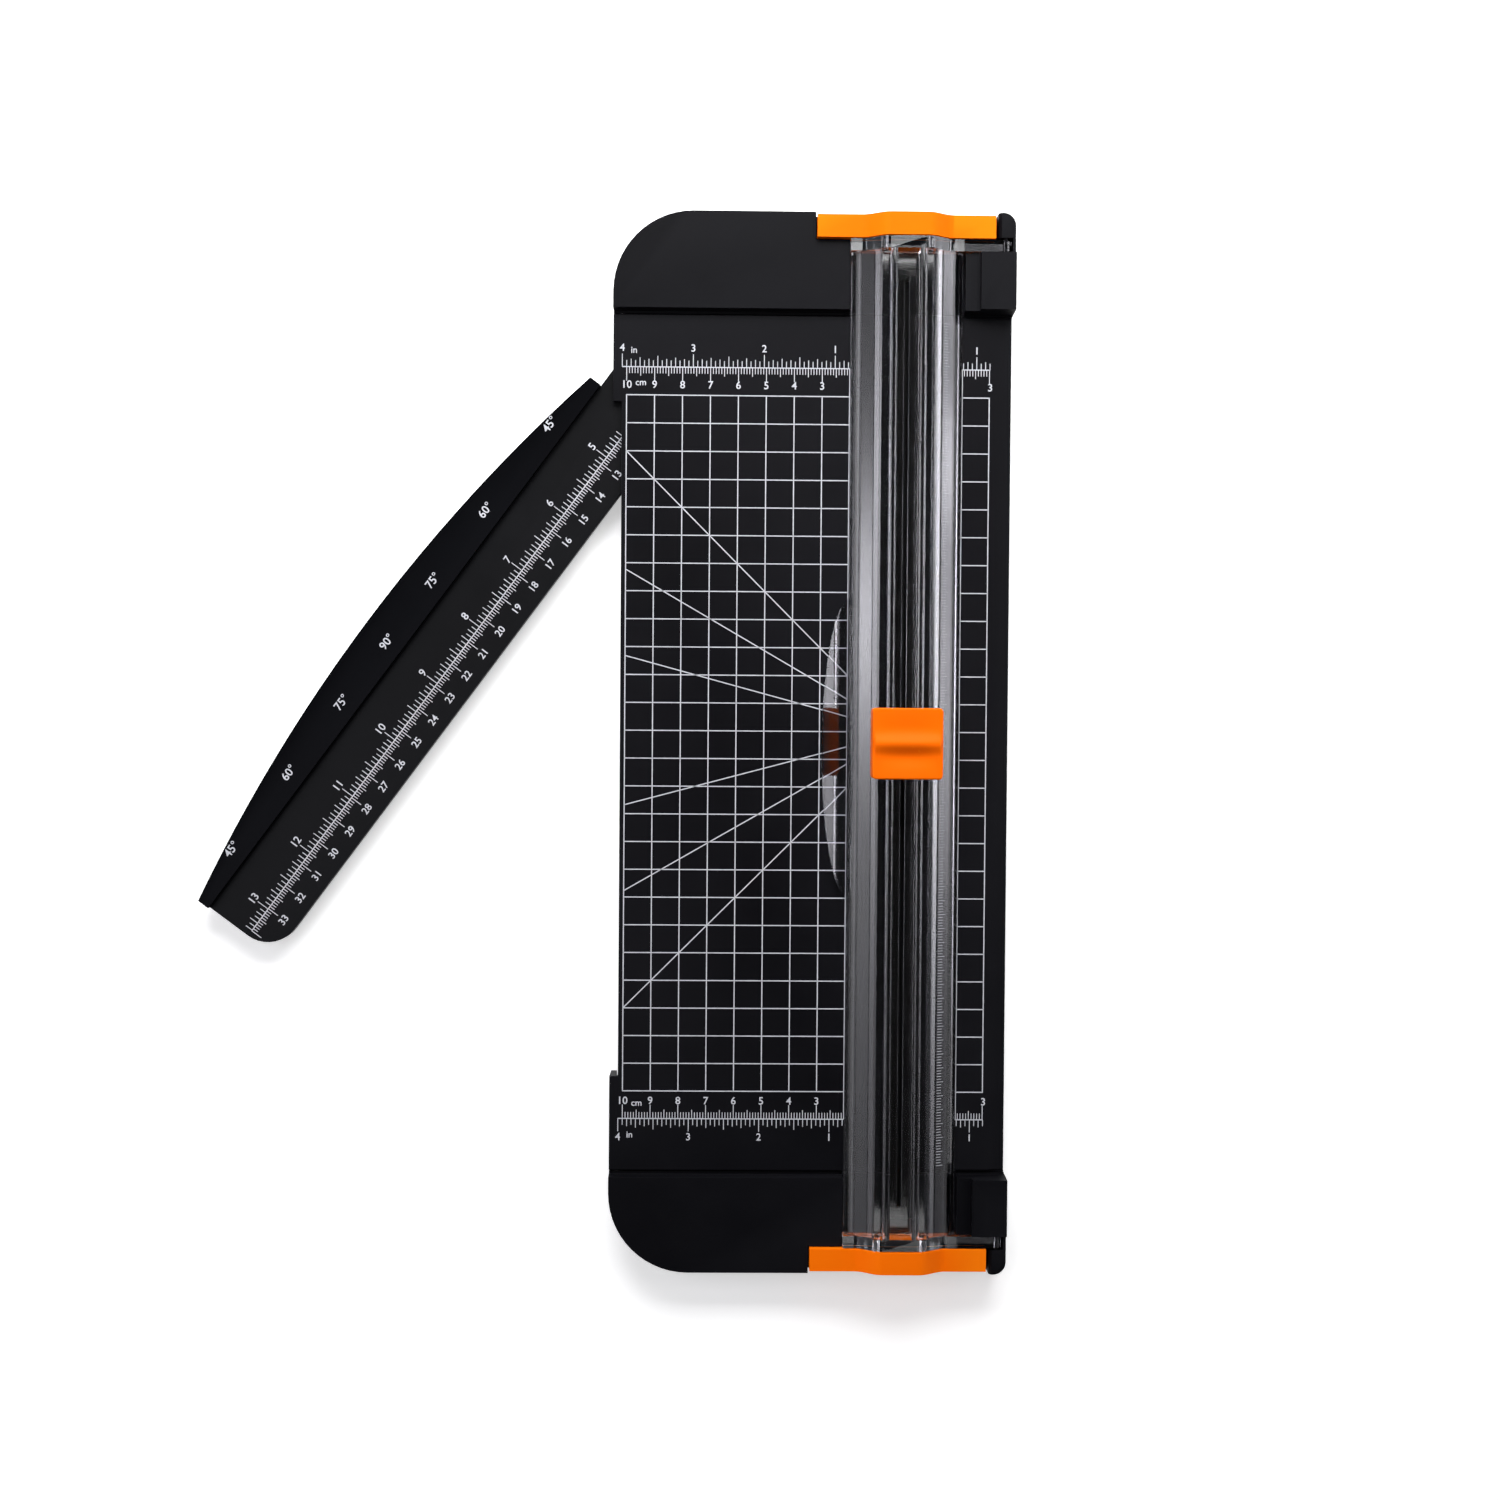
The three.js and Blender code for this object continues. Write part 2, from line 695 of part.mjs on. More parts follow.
// Right half of the rail's section from its underside, round the edge, to the channel floor, as [x, z].
function railHalfSection() {
  const round = rail.trackRound;
  return [
    [rail.webWidth, rail.bottom],
    [rail.webWidth, rail.webTop],
    [rail.wingStart + 0.2, rail.webTop],
    ...wingArc(wing.innerX, wing.innerZ, rail.wingStart + 0.6, rail.footStart, 12),
    [rail.footStart, rail.bottom],
    [rail.halfWidth, rail.bottom],
    ...wingArc(wing.outerX, wing.outerZ, rail.halfWidth, rail.wingStart, 16),
    [rail.wingStart, rail.grooveFloor],
    [rail.stem, rail.grooveFloor],
    [rail.stem, rail.trackUnder],
    [rail.trackWidth, rail.trackUnder],
    ...roundCorner(rail.trackWidth - round, rail.trackTop - round, round, 0, 90),
    ...roundCorner(rail.channel + round, rail.trackTop - round, round, 90, 180),
    [rail.channel, rail.floor],
  ];
}

// The finger tab on the rail's free edge: half an ellipse that curls up towards a raised rim.
function liftTab() {
  const { depth, halfLength, thickness, centreY, curl, rimWidth, rimHeight } = tab;
  const rootX = cutX - rail.halfWidth + 0.5;
  const curlStart = cutX - rail.halfWidth - 0.5;
  const halfEllipse = (inset) => {
    const shape = new THREE.Shape();
    shape.absellipse(rootX, centreY, depth - inset, halfLength - inset, Math.PI / 2, 1.5 * Math.PI, false);
    const geometry = new THREE.ExtrudeGeometry(shape, { depth: 10, bevelEnabled: false, curveSegments: 36 });
    return geometry.translate(0, 0, rail.bottom - 1);
  };
  const sheet = (lift) => {
    const top = [];
    const steps = 16;
    for (let step = 0; step <= steps; step += 1) {
      const x = rootX - ((depth + 0.5) * step) / steps;
      top.push([x, rail.bottom + thickness + curl * Math.max(0, curlStart - x) ** 2 + lift]);
    }
    const under = top.map(([x, z]) => [x, z - thickness - lift]).reverse();
    return alongY(profileShape([...top, ...under]), centreY - halfLength - 1, centreY + halfLength + 1);
  };
  const rim = cut(halfEllipse(0), halfEllipse(rimWidth));
  return join(overlap(halfEllipse(0), sheet(0)), overlap(rim, sheet(rimHeight)));
}

// A plate across one end of the bar, with the hinge's knuckle and two holes for the cap's screws.
function endFlange(end) {
  const span = lowHigh(end * flange.start, end * flange.end);
  const holeSpan = lowHigh(end * (capScrew.tip - 0.4), end * (flange.end + 1));
  const shape = profileShape([
    [cutX + flange.left, rail.bottom],
    [hinge.x, rail.bottom],
    [hinge.x, hinge.z + hinge.knuckleRadius],
    ...archPoints(flange.left, flange.right, flange.side, flange.crest).reverse(),
  ]);
  return cut(
    join(alongY(shape, ...span), cylinderAlongY(hinge.x, hinge.z, hinge.knuckleRadius, ...span, 28)),
    cylinderAlongY(hinge.x, hinge.z, hinge.boreRadius + 0.1, span[0] - 1, span[1] + 1),
    ...[-capScrew.x, capScrew.x].map((x) =>
      cylinderAlongY(cutX + x, capScrew.z, capScrew.shankRadius + 0.2, ...holeSpan, 16),
    ),
  );
}

function clearRail() {
  const { slitHalfWidth, slitHalfLength, bottom, floor, halfLength } = rail;
  const right = railHalfSection();
  const left = right.map(([x, z]) => [-x, z]).reverse();
  const section = profileShape([...right, ...left].map(([x, z]) => [cutX + x, z]));
  const slit = box(
    cutX - slitHalfWidth,
    cutX + slitHalfWidth,
    -slitHalfLength,
    slitHalfLength,
    bottom - 1,
    floor + 0.1,
  );
  return join(cut(alongY(section, -halfLength, halfLength), slit), ...atBothEnds(endFlange), liftTab());
}
addPiece("clear_rail", clearRail(), clearPlastic);

function endCap(end) {
  const { start, bottom, side, crest, wall } = cap;
  const left = cutX + cap.left;
  const right = cutX + cap.right;
  const face = profileShape([
    [left, bottom],
    [right, bottom],
    ...archPoints(cap.left, cap.right, side, crest).reverse(),
  ]);
  const back = cap.end - wall;
  const pocket = endBox(end, left + wall, right - wall, start + wall, back, bottom - 1, cap.pocketTop);
  const recess = lowHigh(end * (cap.end - capScrew.recess), end * (cap.end + 1));
  const through = lowHigh(end * (start - 1), end * (cap.end + 1));
  const screwRoom = [-capScrew.x, capScrew.x].flatMap((x) => [
    cylinderAlongY(cutX + x, capScrew.z, capScrew.shankRadius + 0.25, ...through, 16),
    cylinderAlongY(cutX + x, capScrew.z, capScrew.headRadius + gap, ...recess),
  ]);
  return cut(alongY(face, ...lowHigh(end * start, end * cap.end)), pocket, ...screwRoom);
}
addPiece("head_end_cap", endCap(1), orangePlastic);
addPiece("foot_end_cap", endCap(-1), orangePlastic);

atBothEnds((end) => {
  const headStart = cap.end - capScrew.recess + gap;
  const profile = [
    [0, capScrew.tip],
    [capScrew.shankRadius - 0.4, capScrew.tip],
    [capScrew.shankRadius, capScrew.tip + 0.6],
    [capScrew.shankRadius, headStart],
    [capScrew.headRadius, headStart],
    [capScrew.headRadius, headStart + capScrew.headLength - 0.3],
    [capScrew.headRadius - 0.3, headStart + capScrew.headLength],
    [0, headStart + capScrew.headLength],
  ].map(([radius, along]) => new THREE.Vector2(radius, along));
  [-capScrew.x, capScrew.x].forEach((x, i) => {
    const screwBody = new THREE.LatheGeometry(profile, 16).rotateX(end > 0 ? 0 : Math.PI);
    const name = `cap_screw_${end > 0 ? "head" : "foot"}_${i + 1}`;
    addPiece(name, screwBody.translate(cutX + x, 0, capScrew.z), blackSteel);
  });
});

// ---------------------------------------------------------------- carriage: shoe, button, blade and springs

// Drawn about the blade's own middle: X across the rail, Y along it.
const carriageGroup = new THREE.Group();
carriageGroup.position.set(cutX, carriage.y, 0);
trimmer.add(carriageGroup);

function carriageShoe() {
  const right = [
    [shoe.legOuter, shoe.bottom],
    [shoe.legOuter, shoe.legBottom],
    [shoe.legInner - 0.2, shoe.legBottom],
    [shoe.legInner - shoe.hook, shoe.legBottom + 0.8],
    [shoe.legInner - shoe.hook, rail.trackUnder - 0.4],
    [shoe.legInner, rail.trackUnder - 0.4],
    [shoe.legInner, shoe.bottom],
  ];
  const left = right.map(([x, z]) => [-x, z]).reverse();
  const section = profileShape([
    [shoe.halfWidth, shoe.top],
    [shoe.halfWidth, shoe.bottom],
    ...right,
    ...left,
    [-shoe.halfWidth, shoe.bottom],
    [-shoe.halfWidth, shoe.top],
  ]);
  const holderRoom = holder.halfWidth + 0.3;
  return cut(
    alongY(section, -shoe.halfLength, shoe.halfLength),
    box(-holderRoom, holderRoom, -holder.halfLength - 0.3, holder.halfLength + 0.3, 10, 30),
  );
}
addPiece("carriage_shoe", carriageShoe(), greyPlastic, carriageGroup);

function pressButton() {
  const { halfWidth, halfLength, wall, top, cavityTop, skirtBottom, endWallBottom } = carriage;
  const { ridgeTop, edge } = carriage;
  const plan = outline([
    [halfWidth, -halfLength, carriage.cornerRadius],
    [halfWidth, halfLength, carriage.cornerRadius],
    [-halfWidth, halfLength, carriage.cornerRadius],
    [-halfWidth, -halfLength, carriage.cornerRadius],
  ]);
  const block = new THREE.ExtrudeGeometry(plan, {
    depth: top - skirtBottom - edge,
    bevelThickness: edge,
    bevelSize: edge,
    bevelOffset: -edge,
    bevelSegments: 2,
  }).translate(0, 0, skirtBottom);
  const squareBottom = box(-20, 20, -20, 20, skirtBottom - 5, skirtBottom + 0.01);
  const scoops = [-1, 1].map((side) =>
    new THREE.SphereGeometry(1, 24, 14).scale(9.5, 4.6, 1.5).translate(0, side * 6.6, top + 0.1),
  );
  const ridge = new THREE.Shape();
  ridge.moveTo(-2.9, top - 1);
  ridge.lineTo(2.9, top - 1);
  ridge.quadraticCurveTo(1.7, top + 0.6, 1.5, ridgeTop - 0.7);
  ridge.quadraticCurveTo(0, ridgeTop + 0.7, -1.5, ridgeTop - 0.7);
  ridge.quadraticCurveTo(-1.7, top + 0.6, -2.9, top - 1);
  const endCut = box(wall - halfWidth, halfWidth - wall, -20, 20, skirtBottom - 5, endWallBottom);
  const cavity = box(
    -halfWidth + wall,
    halfWidth - wall,
    -halfLength + wall,
    halfLength - wall,
    skirtBottom - 5,
    cavityTop,
  );
  const ridgeBody = alongX(ridge, -carriage.ridgeHalfWidth, carriage.ridgeHalfWidth);
  return cut(join(cut(block, ...scoops), ridgeBody), squareBottom, endCut, cavity);
}
addPiece("press_button", pressButton(), orangePlastic, carriageGroup);

function bladeHolder() {
  const { halfWidth, halfLength, bottom, top, slotHalfWidth, slotTop } = holder;
  const body = box(-halfWidth, halfWidth, -halfLength, halfLength, bottom, top);
  const catches = box(-3.1, 3.1, -halfLength, halfLength, 18.6, 21.5);
  const head = box(-4.6, 4.6, -10.2, 10.2, top - 1.2, top);
  return cut(
    join(body, catches, head),
    box(-slotHalfWidth, slotHalfWidth, -7.3, 7.3, bottom - 1, slotTop),
    cylinderAlongX(0, blade.z, blade.axleRadius + 0.1, -5, 5, 20),
  );
}
addPiece("blade_holder", bladeHolder(), greyPlastic, carriageGroup);
addPiece("blade_axle", cylinderAlongX(0, blade.z, blade.axleRadius, -2.9, 2.9, 20), steel, carriageGroup);

function cutterBlade() {
  const edgeBevel = 0.9;
  const profile = [
    [blade.boreRadius, -blade.halfThickness],
    [blade.radius - edgeBevel, -blade.halfThickness],
    [blade.radius, 0],
    [blade.radius - edgeBevel, blade.halfThickness],
    [blade.boreRadius, blade.halfThickness],
    [blade.boreRadius, -blade.halfThickness],
  ].map(([radius, along]) => new THREE.Vector2(radius, along));
  return new THREE.LatheGeometry(profile, 48).rotateZ(-Math.PI / 2).translate(0, 0, blade.z);
}
addPiece("cutter_blade", cutterBlade(), steel, carriageGroup);

[-1, 1].forEach((side) => {
  const near = side > 0 ? blade.halfThickness + 0.1 : -0.8;
  const bush = cut(
    cylinderAlongX(0, blade.z, 2.3, near, near + 0.5),
    cylinderAlongX(0, blade.z, blade.boreRadius, -5, 5),
  );
  addPiece(side > 0 ? "blade_bush_right" : "blade_bush_left", bush, greyPlastic, carriageGroup);
});

class CoilCurve extends THREE.Curve {
  constructor(low, high) {
    super();
    this.low = low;
    this.high = high;
  }
  getPoint(t, target = new THREE.Vector3()) {
    const angle = 2 * Math.PI * spring.turns * t;
    const height = THREE.MathUtils.lerp(this.low, this.high, t);
    return target.set(spring.radius * Math.cos(angle), spring.radius * Math.sin(angle), height);
  }
}

[-1, 1].forEach((side) => {
  const wire = new THREE.Shape();
  wire.absarc(0, 0, spring.wireRadius, 0, 2 * Math.PI, false);
  const coil = new THREE.ExtrudeGeometry(wire, {
    steps: spring.turns * 10,
    curveSegments: 3,
    extrudePath: new CoilCurve(shoe.top + 0.65, carriage.cavityTop - 0.65),
  }).translate(side * spring.x, 0, 0);
  addPiece(side > 0 ? "return_spring_right" : "return_spring_left", coil, steel, carriageGroup);
});

export default trimmer;
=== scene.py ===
"""Looks of the sliding-cutter paper trimmer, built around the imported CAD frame.

Lengths are millimetres in the CAD frame and become metres when a mesh is made, unless a comment says
that they are metres.
"""

import json
import math

import bmesh
import bpy
from mathutils import Euler, Matrix, Vector


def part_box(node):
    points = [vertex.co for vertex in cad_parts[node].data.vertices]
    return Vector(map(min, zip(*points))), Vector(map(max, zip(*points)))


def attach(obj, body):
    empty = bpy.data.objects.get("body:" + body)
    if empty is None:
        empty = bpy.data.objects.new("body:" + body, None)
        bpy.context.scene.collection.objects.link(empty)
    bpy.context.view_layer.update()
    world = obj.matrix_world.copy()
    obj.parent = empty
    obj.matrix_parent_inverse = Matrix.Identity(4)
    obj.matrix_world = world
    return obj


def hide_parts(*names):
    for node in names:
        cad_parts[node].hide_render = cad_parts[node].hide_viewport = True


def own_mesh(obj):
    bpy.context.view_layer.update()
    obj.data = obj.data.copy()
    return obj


MM = 0.001

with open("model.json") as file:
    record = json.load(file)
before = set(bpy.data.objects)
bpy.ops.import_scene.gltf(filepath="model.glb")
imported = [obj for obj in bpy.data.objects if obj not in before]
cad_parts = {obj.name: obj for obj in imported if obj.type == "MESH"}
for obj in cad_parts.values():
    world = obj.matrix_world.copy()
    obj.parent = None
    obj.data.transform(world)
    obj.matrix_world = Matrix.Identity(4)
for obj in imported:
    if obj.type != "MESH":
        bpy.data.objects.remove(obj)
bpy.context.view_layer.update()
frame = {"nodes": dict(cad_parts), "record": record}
nodes = frame["nodes"]

# ---------------------------------------------------------------- places taken from the CAD

# The boxes are read from the frame. The plain numbers repeat the CAD source's own.
CUT_X = (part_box("cutting_strip")[0].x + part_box("cutting_strip")[1].x) / 2 / MM
PLATFORM_Z = 12.0  # top of the platform that carries the printed grid
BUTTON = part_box("press_button")  # metres
ARM_PIVOT = Vector((-60.0, 135.0))
ARM_OPEN = math.radians(36.5)  # the arm's angle from straight down -Y
ARM_BAND_Z = 9.4
ARM_BOW_Z = 11.9
ARM_STEP = -9.7  # across the arm, where the band meets the thicker bow


# ---------------------------------------------------------------- camera

CAMERA_PLACE = (-31.6, 10.7, 650.0)
CAMERA_TURN = (-1.131, -0.817, 0.424)  # degrees away from looking straight down
CAMERA_LENS = 42.61
CAMERA_SENSOR = 36

camera_data = bpy.data.cameras.new("camera")
camera_data.lens = CAMERA_LENS
camera_data.sensor_width = CAMERA_SENSOR
camera_data.clip_start = 0.01
camera_data.clip_end = 50
camera = bpy.data.objects.new("camera", camera_data)
camera.location = Vector(CAMERA_PLACE) * MM
camera.rotation_euler = Euler([math.radians(a) for a in CAMERA_TURN], "XYZ")
bpy.context.scene.collection.objects.link(camera)
bpy.context.scene.camera = camera


# ---------------------------------------------------------------- materials

PLASTIC_IOR = 1.49
CLOUD = 22  # noise scales, per metre: faint changes of colour
SMUDGE = 60  # uneven gloss
GRAIN = 1400  # the mould's grain
GRAIN_DEPTH = 0.00002  # metres
GRAIN_STRENGTH = 0.35
GRAIN_GLOSS = 0.02  # how much the grain changes the roughness, either way
WORN_SHARE = 0.35  # how far a sharp edge goes towards its worn colour
STEP_BLEND = 0.2  # half the width over which the arm's sheen changes
PAINTED_SHADE_EDGE_START = 17.3  # from the cutting line to where painted shade darkens the rail's hinge-side edge
PAINTED_SHADE_EDGE_BLEND = 0.8


class Shader:
    """A material's node tree with short calls for the nodes used here."""

    def __init__(self, name):
        self.material = bpy.data.materials.new(name)
        self.material.use_nodes = True
        self.tree = self.material.node_tree
        self.tree.nodes.clear()
        self.output = self.add("ShaderNodeOutputMaterial")
        self.place = self.add("ShaderNodeTexCoord").outputs["Object"]

    def add(self, kind, **values):
        node = self.tree.nodes.new(kind)
        for name, value in values.items():
            setattr(node, name, value)
        return node

    def link(self, source, target):
        self.tree.links.new(source, target)

    def set(self, socket, value):
        if isinstance(value, bpy.types.NodeSocket):
            self.link(value, socket)
        else:
            socket.default_value = value

    def noise(self, scale, detail=3.0, stretch=(1, 1, 1), roughness=0.55):
        """Noise of about 1 / scale metres, drawn out along an axis by a small stretch."""
        mapping = self.add("ShaderNodeMapping")
        mapping.inputs["Scale"].default_value = stretch
        self.link(self.place, mapping.inputs["Vector"])
        node = self.add("ShaderNodeTexNoise")
        node.inputs["Scale"].default_value = scale
        node.inputs["Detail"].default_value = detail
        node.inputs["Roughness"].default_value = roughness
        self.link(mapping.outputs["Vector"], node.inputs["Vector"])
        return node.outputs["Fac"]

    def span(self, value, low, high, from_low=0.3, from_high=0.7):
        """Maps a value from from_low..from_high, by default a noise's middle part, to low..high."""
        node = self.add("ShaderNodeMapRange")
        self.set(node.inputs["Value"], value)
        node.inputs["From Min"].default_value = from_low
        node.inputs["From Max"].default_value = from_high
        node.inputs["To Min"].default_value = low
        node.inputs["To Max"].default_value = high
        return node.outputs["Result"]

    def mix(self, amount, first, second):
        """Mixes two colours. A Mix node keeps its colour sockets after those for numbers and vectors."""
        node = self.add("ShaderNodeMix", data_type="RGBA")
        self.set(node.inputs[0], amount)
        self.set(node.inputs[6], first)
        self.set(node.inputs[7], second)
        return node.outputs[2]

    def math(self, operation, first, second=0.0):
        node = self.add("ShaderNodeMath", operation=operation)
        self.set(node.inputs[0], first)
        self.set(node.inputs[1], second)
        return node.outputs[0]

    def bump(self, height, strength, distance):
        """A surface raised by height times distance, in metres."""
        node = self.add("ShaderNodeBump")
        node.inputs["Strength"].default_value = strength
        node.inputs["Distance"].default_value = distance
        self.link(height, node.inputs["Height"])
        return node.outputs["Normal"]

    def edges(self):
        """0 on flats, rising to 1 on sharp convex edges."""
        pointiness = self.add("ShaderNodeNewGeometry").outputs["Pointiness"]
        return self.span(pointiness, 0.0, 1.0, from_low=0.51, from_high=0.6)

    def principled(self, **inputs):
        node = self.add("ShaderNodeBsdfPrincipled")
        for name, value in inputs.items():
            self.set(node.inputs[name.replace("_", " ")], value)
        self.link(node.outputs["BSDF"], self.output.inputs["Surface"])
        return node


def moulded_plastic(
    name,
    dark,
    light,
    rough,
    grain=GRAIN,
    grain_depth=GRAIN_DEPTH,
    grain_strength=GRAIN_STRENGTH,
    specular=0.4,
):
    """Moulded plastic: faint cloudy colour, fine grain, uneven gloss, paler worn edges."""
    shader = Shader(name)
    cloud = shader.noise(CLOUD, 4)
    colour = shader.mix(shader.span(cloud, 0, 1), (*dark, 1), (*light, 1))
    worn = tuple(min(1.0, c * 1.8 + 0.004) for c in light)
    colour = shader.mix(shader.math("MULTIPLY", shader.edges(), WORN_SHARE), colour, (*worn, 1))
    grains = shader.noise(grain, 2)
    smudge = shader.noise(SMUDGE, 3, roughness=0.6)
    gloss_grain = shader.span(grains, -GRAIN_GLOSS, GRAIN_GLOSS)
    shader.principled(
        Base_Color=colour,
        Roughness=shader.math("ADD", shader.span(smudge, *rough), gloss_grain),
        IOR=PLASTIC_IOR,
        Specular_IOR_Level=specular,
        Normal=shader.bump(grains, grain_strength, grain_depth),
    )
    return shader.material


def arm_plastic():
    """The arm's black plastic: the thin ruler band has more sheen than the thick bow-shaped one."""
    shader = Shader("arm_black_plastic")
    across = Vector((math.cos(ARM_OPEN), -math.sin(ARM_OPEN)))
    place = shader.add("ShaderNodeVectorMath", operation="DOT_PRODUCT")
    shader.link(shader.place, place.inputs[0])
    place.inputs[1].default_value = (*across, 0)
    step = ARM_PIVOT.dot(across) + ARM_STEP
    edge_low, edge_high = (step - STEP_BLEND) * MM, (step + STEP_BLEND) * MM
    on_band = shader.span(place.outputs["Value"], 0, 1, from_low=edge_low, from_high=edge_high)
    cloud = shader.noise(CLOUD, 4)
    colour = shader.mix(shader.span(cloud, 0, 1), (0.0014, 0.0015, 0.002, 1), (0.0026, 0.0028, 0.0036, 1))
    worn = (0.01, 0.01, 0.012, 1)
    colour = shader.mix(shader.math("MULTIPLY", shader.edges(), WORN_SHARE), colour, worn)
    grains = shader.noise(GRAIN, 2)
    smudge = shader.noise(SMUDGE, 3, roughness=0.6)
    gloss_grain = shader.span(grains, -GRAIN_GLOSS, GRAIN_GLOSS)
    shader.principled(
        Base_Color=colour,
        Roughness=shader.math("ADD", shader.span(smudge, 0.42, 0.52), gloss_grain),
        IOR=PLASTIC_IOR,
        Specular_IOR_Level=shader.span(on_band, 0.005, 0.08, from_low=0, from_high=1),
        Normal=shader.bump(grains, GRAIN_STRENGTH, GRAIN_DEPTH),
    )
    return shader.material


def steel(name, colour, rough, stretch):
    """Drawn or ground steel with fine lines along one axis."""
    shader = Shader(name)
    lines = shader.noise(900, 3, stretch)
    stain = shader.noise(120, 3)
    darker = [c * 0.8 for c in colour]
    stained = shader.span(stain, rough - 0.06, rough + 0.08)
    shader.principled(
        Base_Color=shader.mix(shader.span(lines, 0, 1), (*darker, 1), (*colour, 1)),
        Metallic=1.0,
        Roughness=shader.math("ADD", stained, shader.span(lines, 0, 0.05)),
        Normal=shader.bump(lines, 0.25, 0.00001),
    )
    return shader.material


def clear_plastic():
    """Polished clear moulding with a faint violet cast, a little haze and painted shade on its hinge-side
    edge, where the tint turns dark grey.
    """
    shader = Shader("clear_plastic")
    lines = shader.noise(500, 2, stretch=(1, 0.003, 1), roughness=0.5)
    blotch = shader.noise(90, 4, roughness=0.7)
    tint = shader.mix(shader.span(blotch, 0, 1), (0.92, 0.92, 0.96, 1), (0.98, 0.98, 0.99, 1))
    split = shader.add("ShaderNodeSeparateXYZ")
    shader.link(shader.place, split.inputs[0])
    # painted shade: the tint turns dark grey over the hinge-side edge so that this edge looks shaded
    edge = (CUT_X + PAINTED_SHADE_EDGE_START) * MM
    in_painted_shade = shader.span(split.outputs["X"], 0, 1, from_low=edge, from_high=edge + PAINTED_SHADE_EDGE_BLEND * MM)
    tint = shader.mix(in_painted_shade, tint, (0.42, 0.42, 0.45, 1))
    shader.principled(
        Base_Color=tint,
        Roughness=shader.math("ADD", shader.span(blotch, 0.01, 0.05), shader.span(lines, 0, 0.02)),
        IOR=PLASTIC_IOR,
        Transmission_Weight=1.0,
    )
    return shader.material


def ink():
    """Pad-printed white ink, a little thin and uneven so that the black shows through."""
    shader = Shader("printed_ink")
    speck = shader.noise(900, 4, roughness=0.7)
    wear = shader.noise(70, 3)
    specked = shader.span(speck, 0.72, 1.0, from_low=0.25, from_high=0.5)
    cover = shader.math("MULTIPLY", specked, shader.span(wear, 0.85, 1.0))
    colour = shader.mix(cover, (0.05, 0.05, 0.055, 1), (0.56, 0.57, 0.62, 1))
    shader.principled(
        Base_Color=colour,
        Roughness=shader.span(speck, 0.45, 0.7),
        IOR=1.45,
        Normal=shader.bump(speck, 0.3, 0.00001),
    )
    return shader.material


def rubber():
    """Dusty black rubber."""
    shader = Shader("foot_rubber")
    speck = shader.noise(1100, 4)
    dust = shader.noise(80, 4, roughness=0.7)
    colour = shader.mix(shader.span(dust, 0, 1), (0.01, 0.01, 0.011, 1), (0.035, 0.034, 0.032, 1))
    shader.principled(
        Base_Color=colour,
        Roughness=shader.span(dust, 0.75, 0.95),
        Specular_IOR_Level=0.3,
        Normal=shader.bump(speck, 0.5, 0.00004),
    )
    return shader.material


BASE_BLACK = moulded_plastic(
    "base_black_plastic",
    dark=(0.0018, 0.0018, 0.0026),
    light=(0.003, 0.003, 0.0042),
    rough=(0.42, 0.52),
    specular=0.055,
)
STRIP_BLACK = moulded_plastic(
    "strip_black_plastic",
    dark=(0.0006, 0.0006, 0.0006),
    light=(0.0012, 0.0012, 0.0012),
    rough=(0.6, 0.7),
    grain=2000,
    specular=0.1,
)
CAP_ORANGE = moulded_plastic(
    "cap_orange_plastic",
    dark=(0.86, 0.132, 0.0008),
    light=(0.92, 0.15, 0.001),
    rough=(0.46, 0.56),
    grain=1200,
    grain_depth=0.00001,
    grain_strength=0.2,
    specular=0.02,
)
BUTTON_ORANGE = moulded_plastic(
    "button_orange_plastic",
    dark=(0.86, 0.124, 0.0008),
    light=(0.92, 0.14, 0.001),
    rough=(0.4, 0.5),
    grain=1200,
    grain_depth=0.00001,
    grain_strength=0.2,
    specular=0.035,
)
ARM_BLACK = arm_plastic()
INNER_GREY = moulded_plastic(
    "inner_grey_plastic",
    dark=(0.06, 0.062, 0.066),
    light=(0.1, 0.103, 0.108),
    rough=(0.4, 0.55),
)
CLEAR = clear_plastic()
INK = ink()
RUBBER = rubber()
BLADE_STEEL = steel("blade_steel", (0.62, 0.63, 0.65), rough=0.18, stretch=(1, 0.2, 1))
WIRE_STEEL = steel("spring_wire", (0.5, 0.5, 0.52), rough=0.28, stretch=(1, 1, 0.2))
HARDWARE_STEEL = steel("zinc_plated_steel", (0.5, 0.5, 0.5), rough=0.3, stretch=(1, 1, 0.3))
BLACK_STEEL = steel("blackened_steel", (0.02, 0.02, 0.022), rough=0.4, stretch=(1, 0.3, 1))

FINISHES = {
    "base_black": BASE_BLACK,
    "strip_black": STRIP_BLACK,
    "arm_black": ARM_BLACK,
    "rail_clear": CLEAR,
    "cap_orange": CAP_ORANGE,
    "button_orange": BUTTON_ORANGE,
    "inner_grey": INNER_GREY,
    "foot_rubber": RUBBER,
    "blade_steel": BLADE_STEEL,
    "spring_steel": WIRE_STEEL,
    "hardware_steel": HARDWARE_STEEL,
    "black_steel": BLACK_STEEL,
}


# ---------------------------------------------------------------- CAD nodes: finish and softened edges

WELD_DISTANCE = 1e-6  # metres
FLAT_ANGLE = 0.5  # degrees: faces closer than this become one face
BEVEL_ANGLE = 28  # degrees: edges sharper than this are rounded
SMALL_SOFTNESS = 0.08  # how far edges are rounded on the nodes not named here
EDGE_SOFTNESS = {
    "base_platform": 0.5,
    "head_end_block": 0.5,
    "foot_end_block": 0.5,
    "base_bottom_cover": 0.3,
    "ruler_arm": 0.45,
    "clear_rail": 0.12,
    "head_end_cap": 0.5,
    "foot_end_cap": 0.5,
    "carriage_shoe": 0.15,
    "blade_holder": 0.15,
    "cutting_strip": 0.15,
}


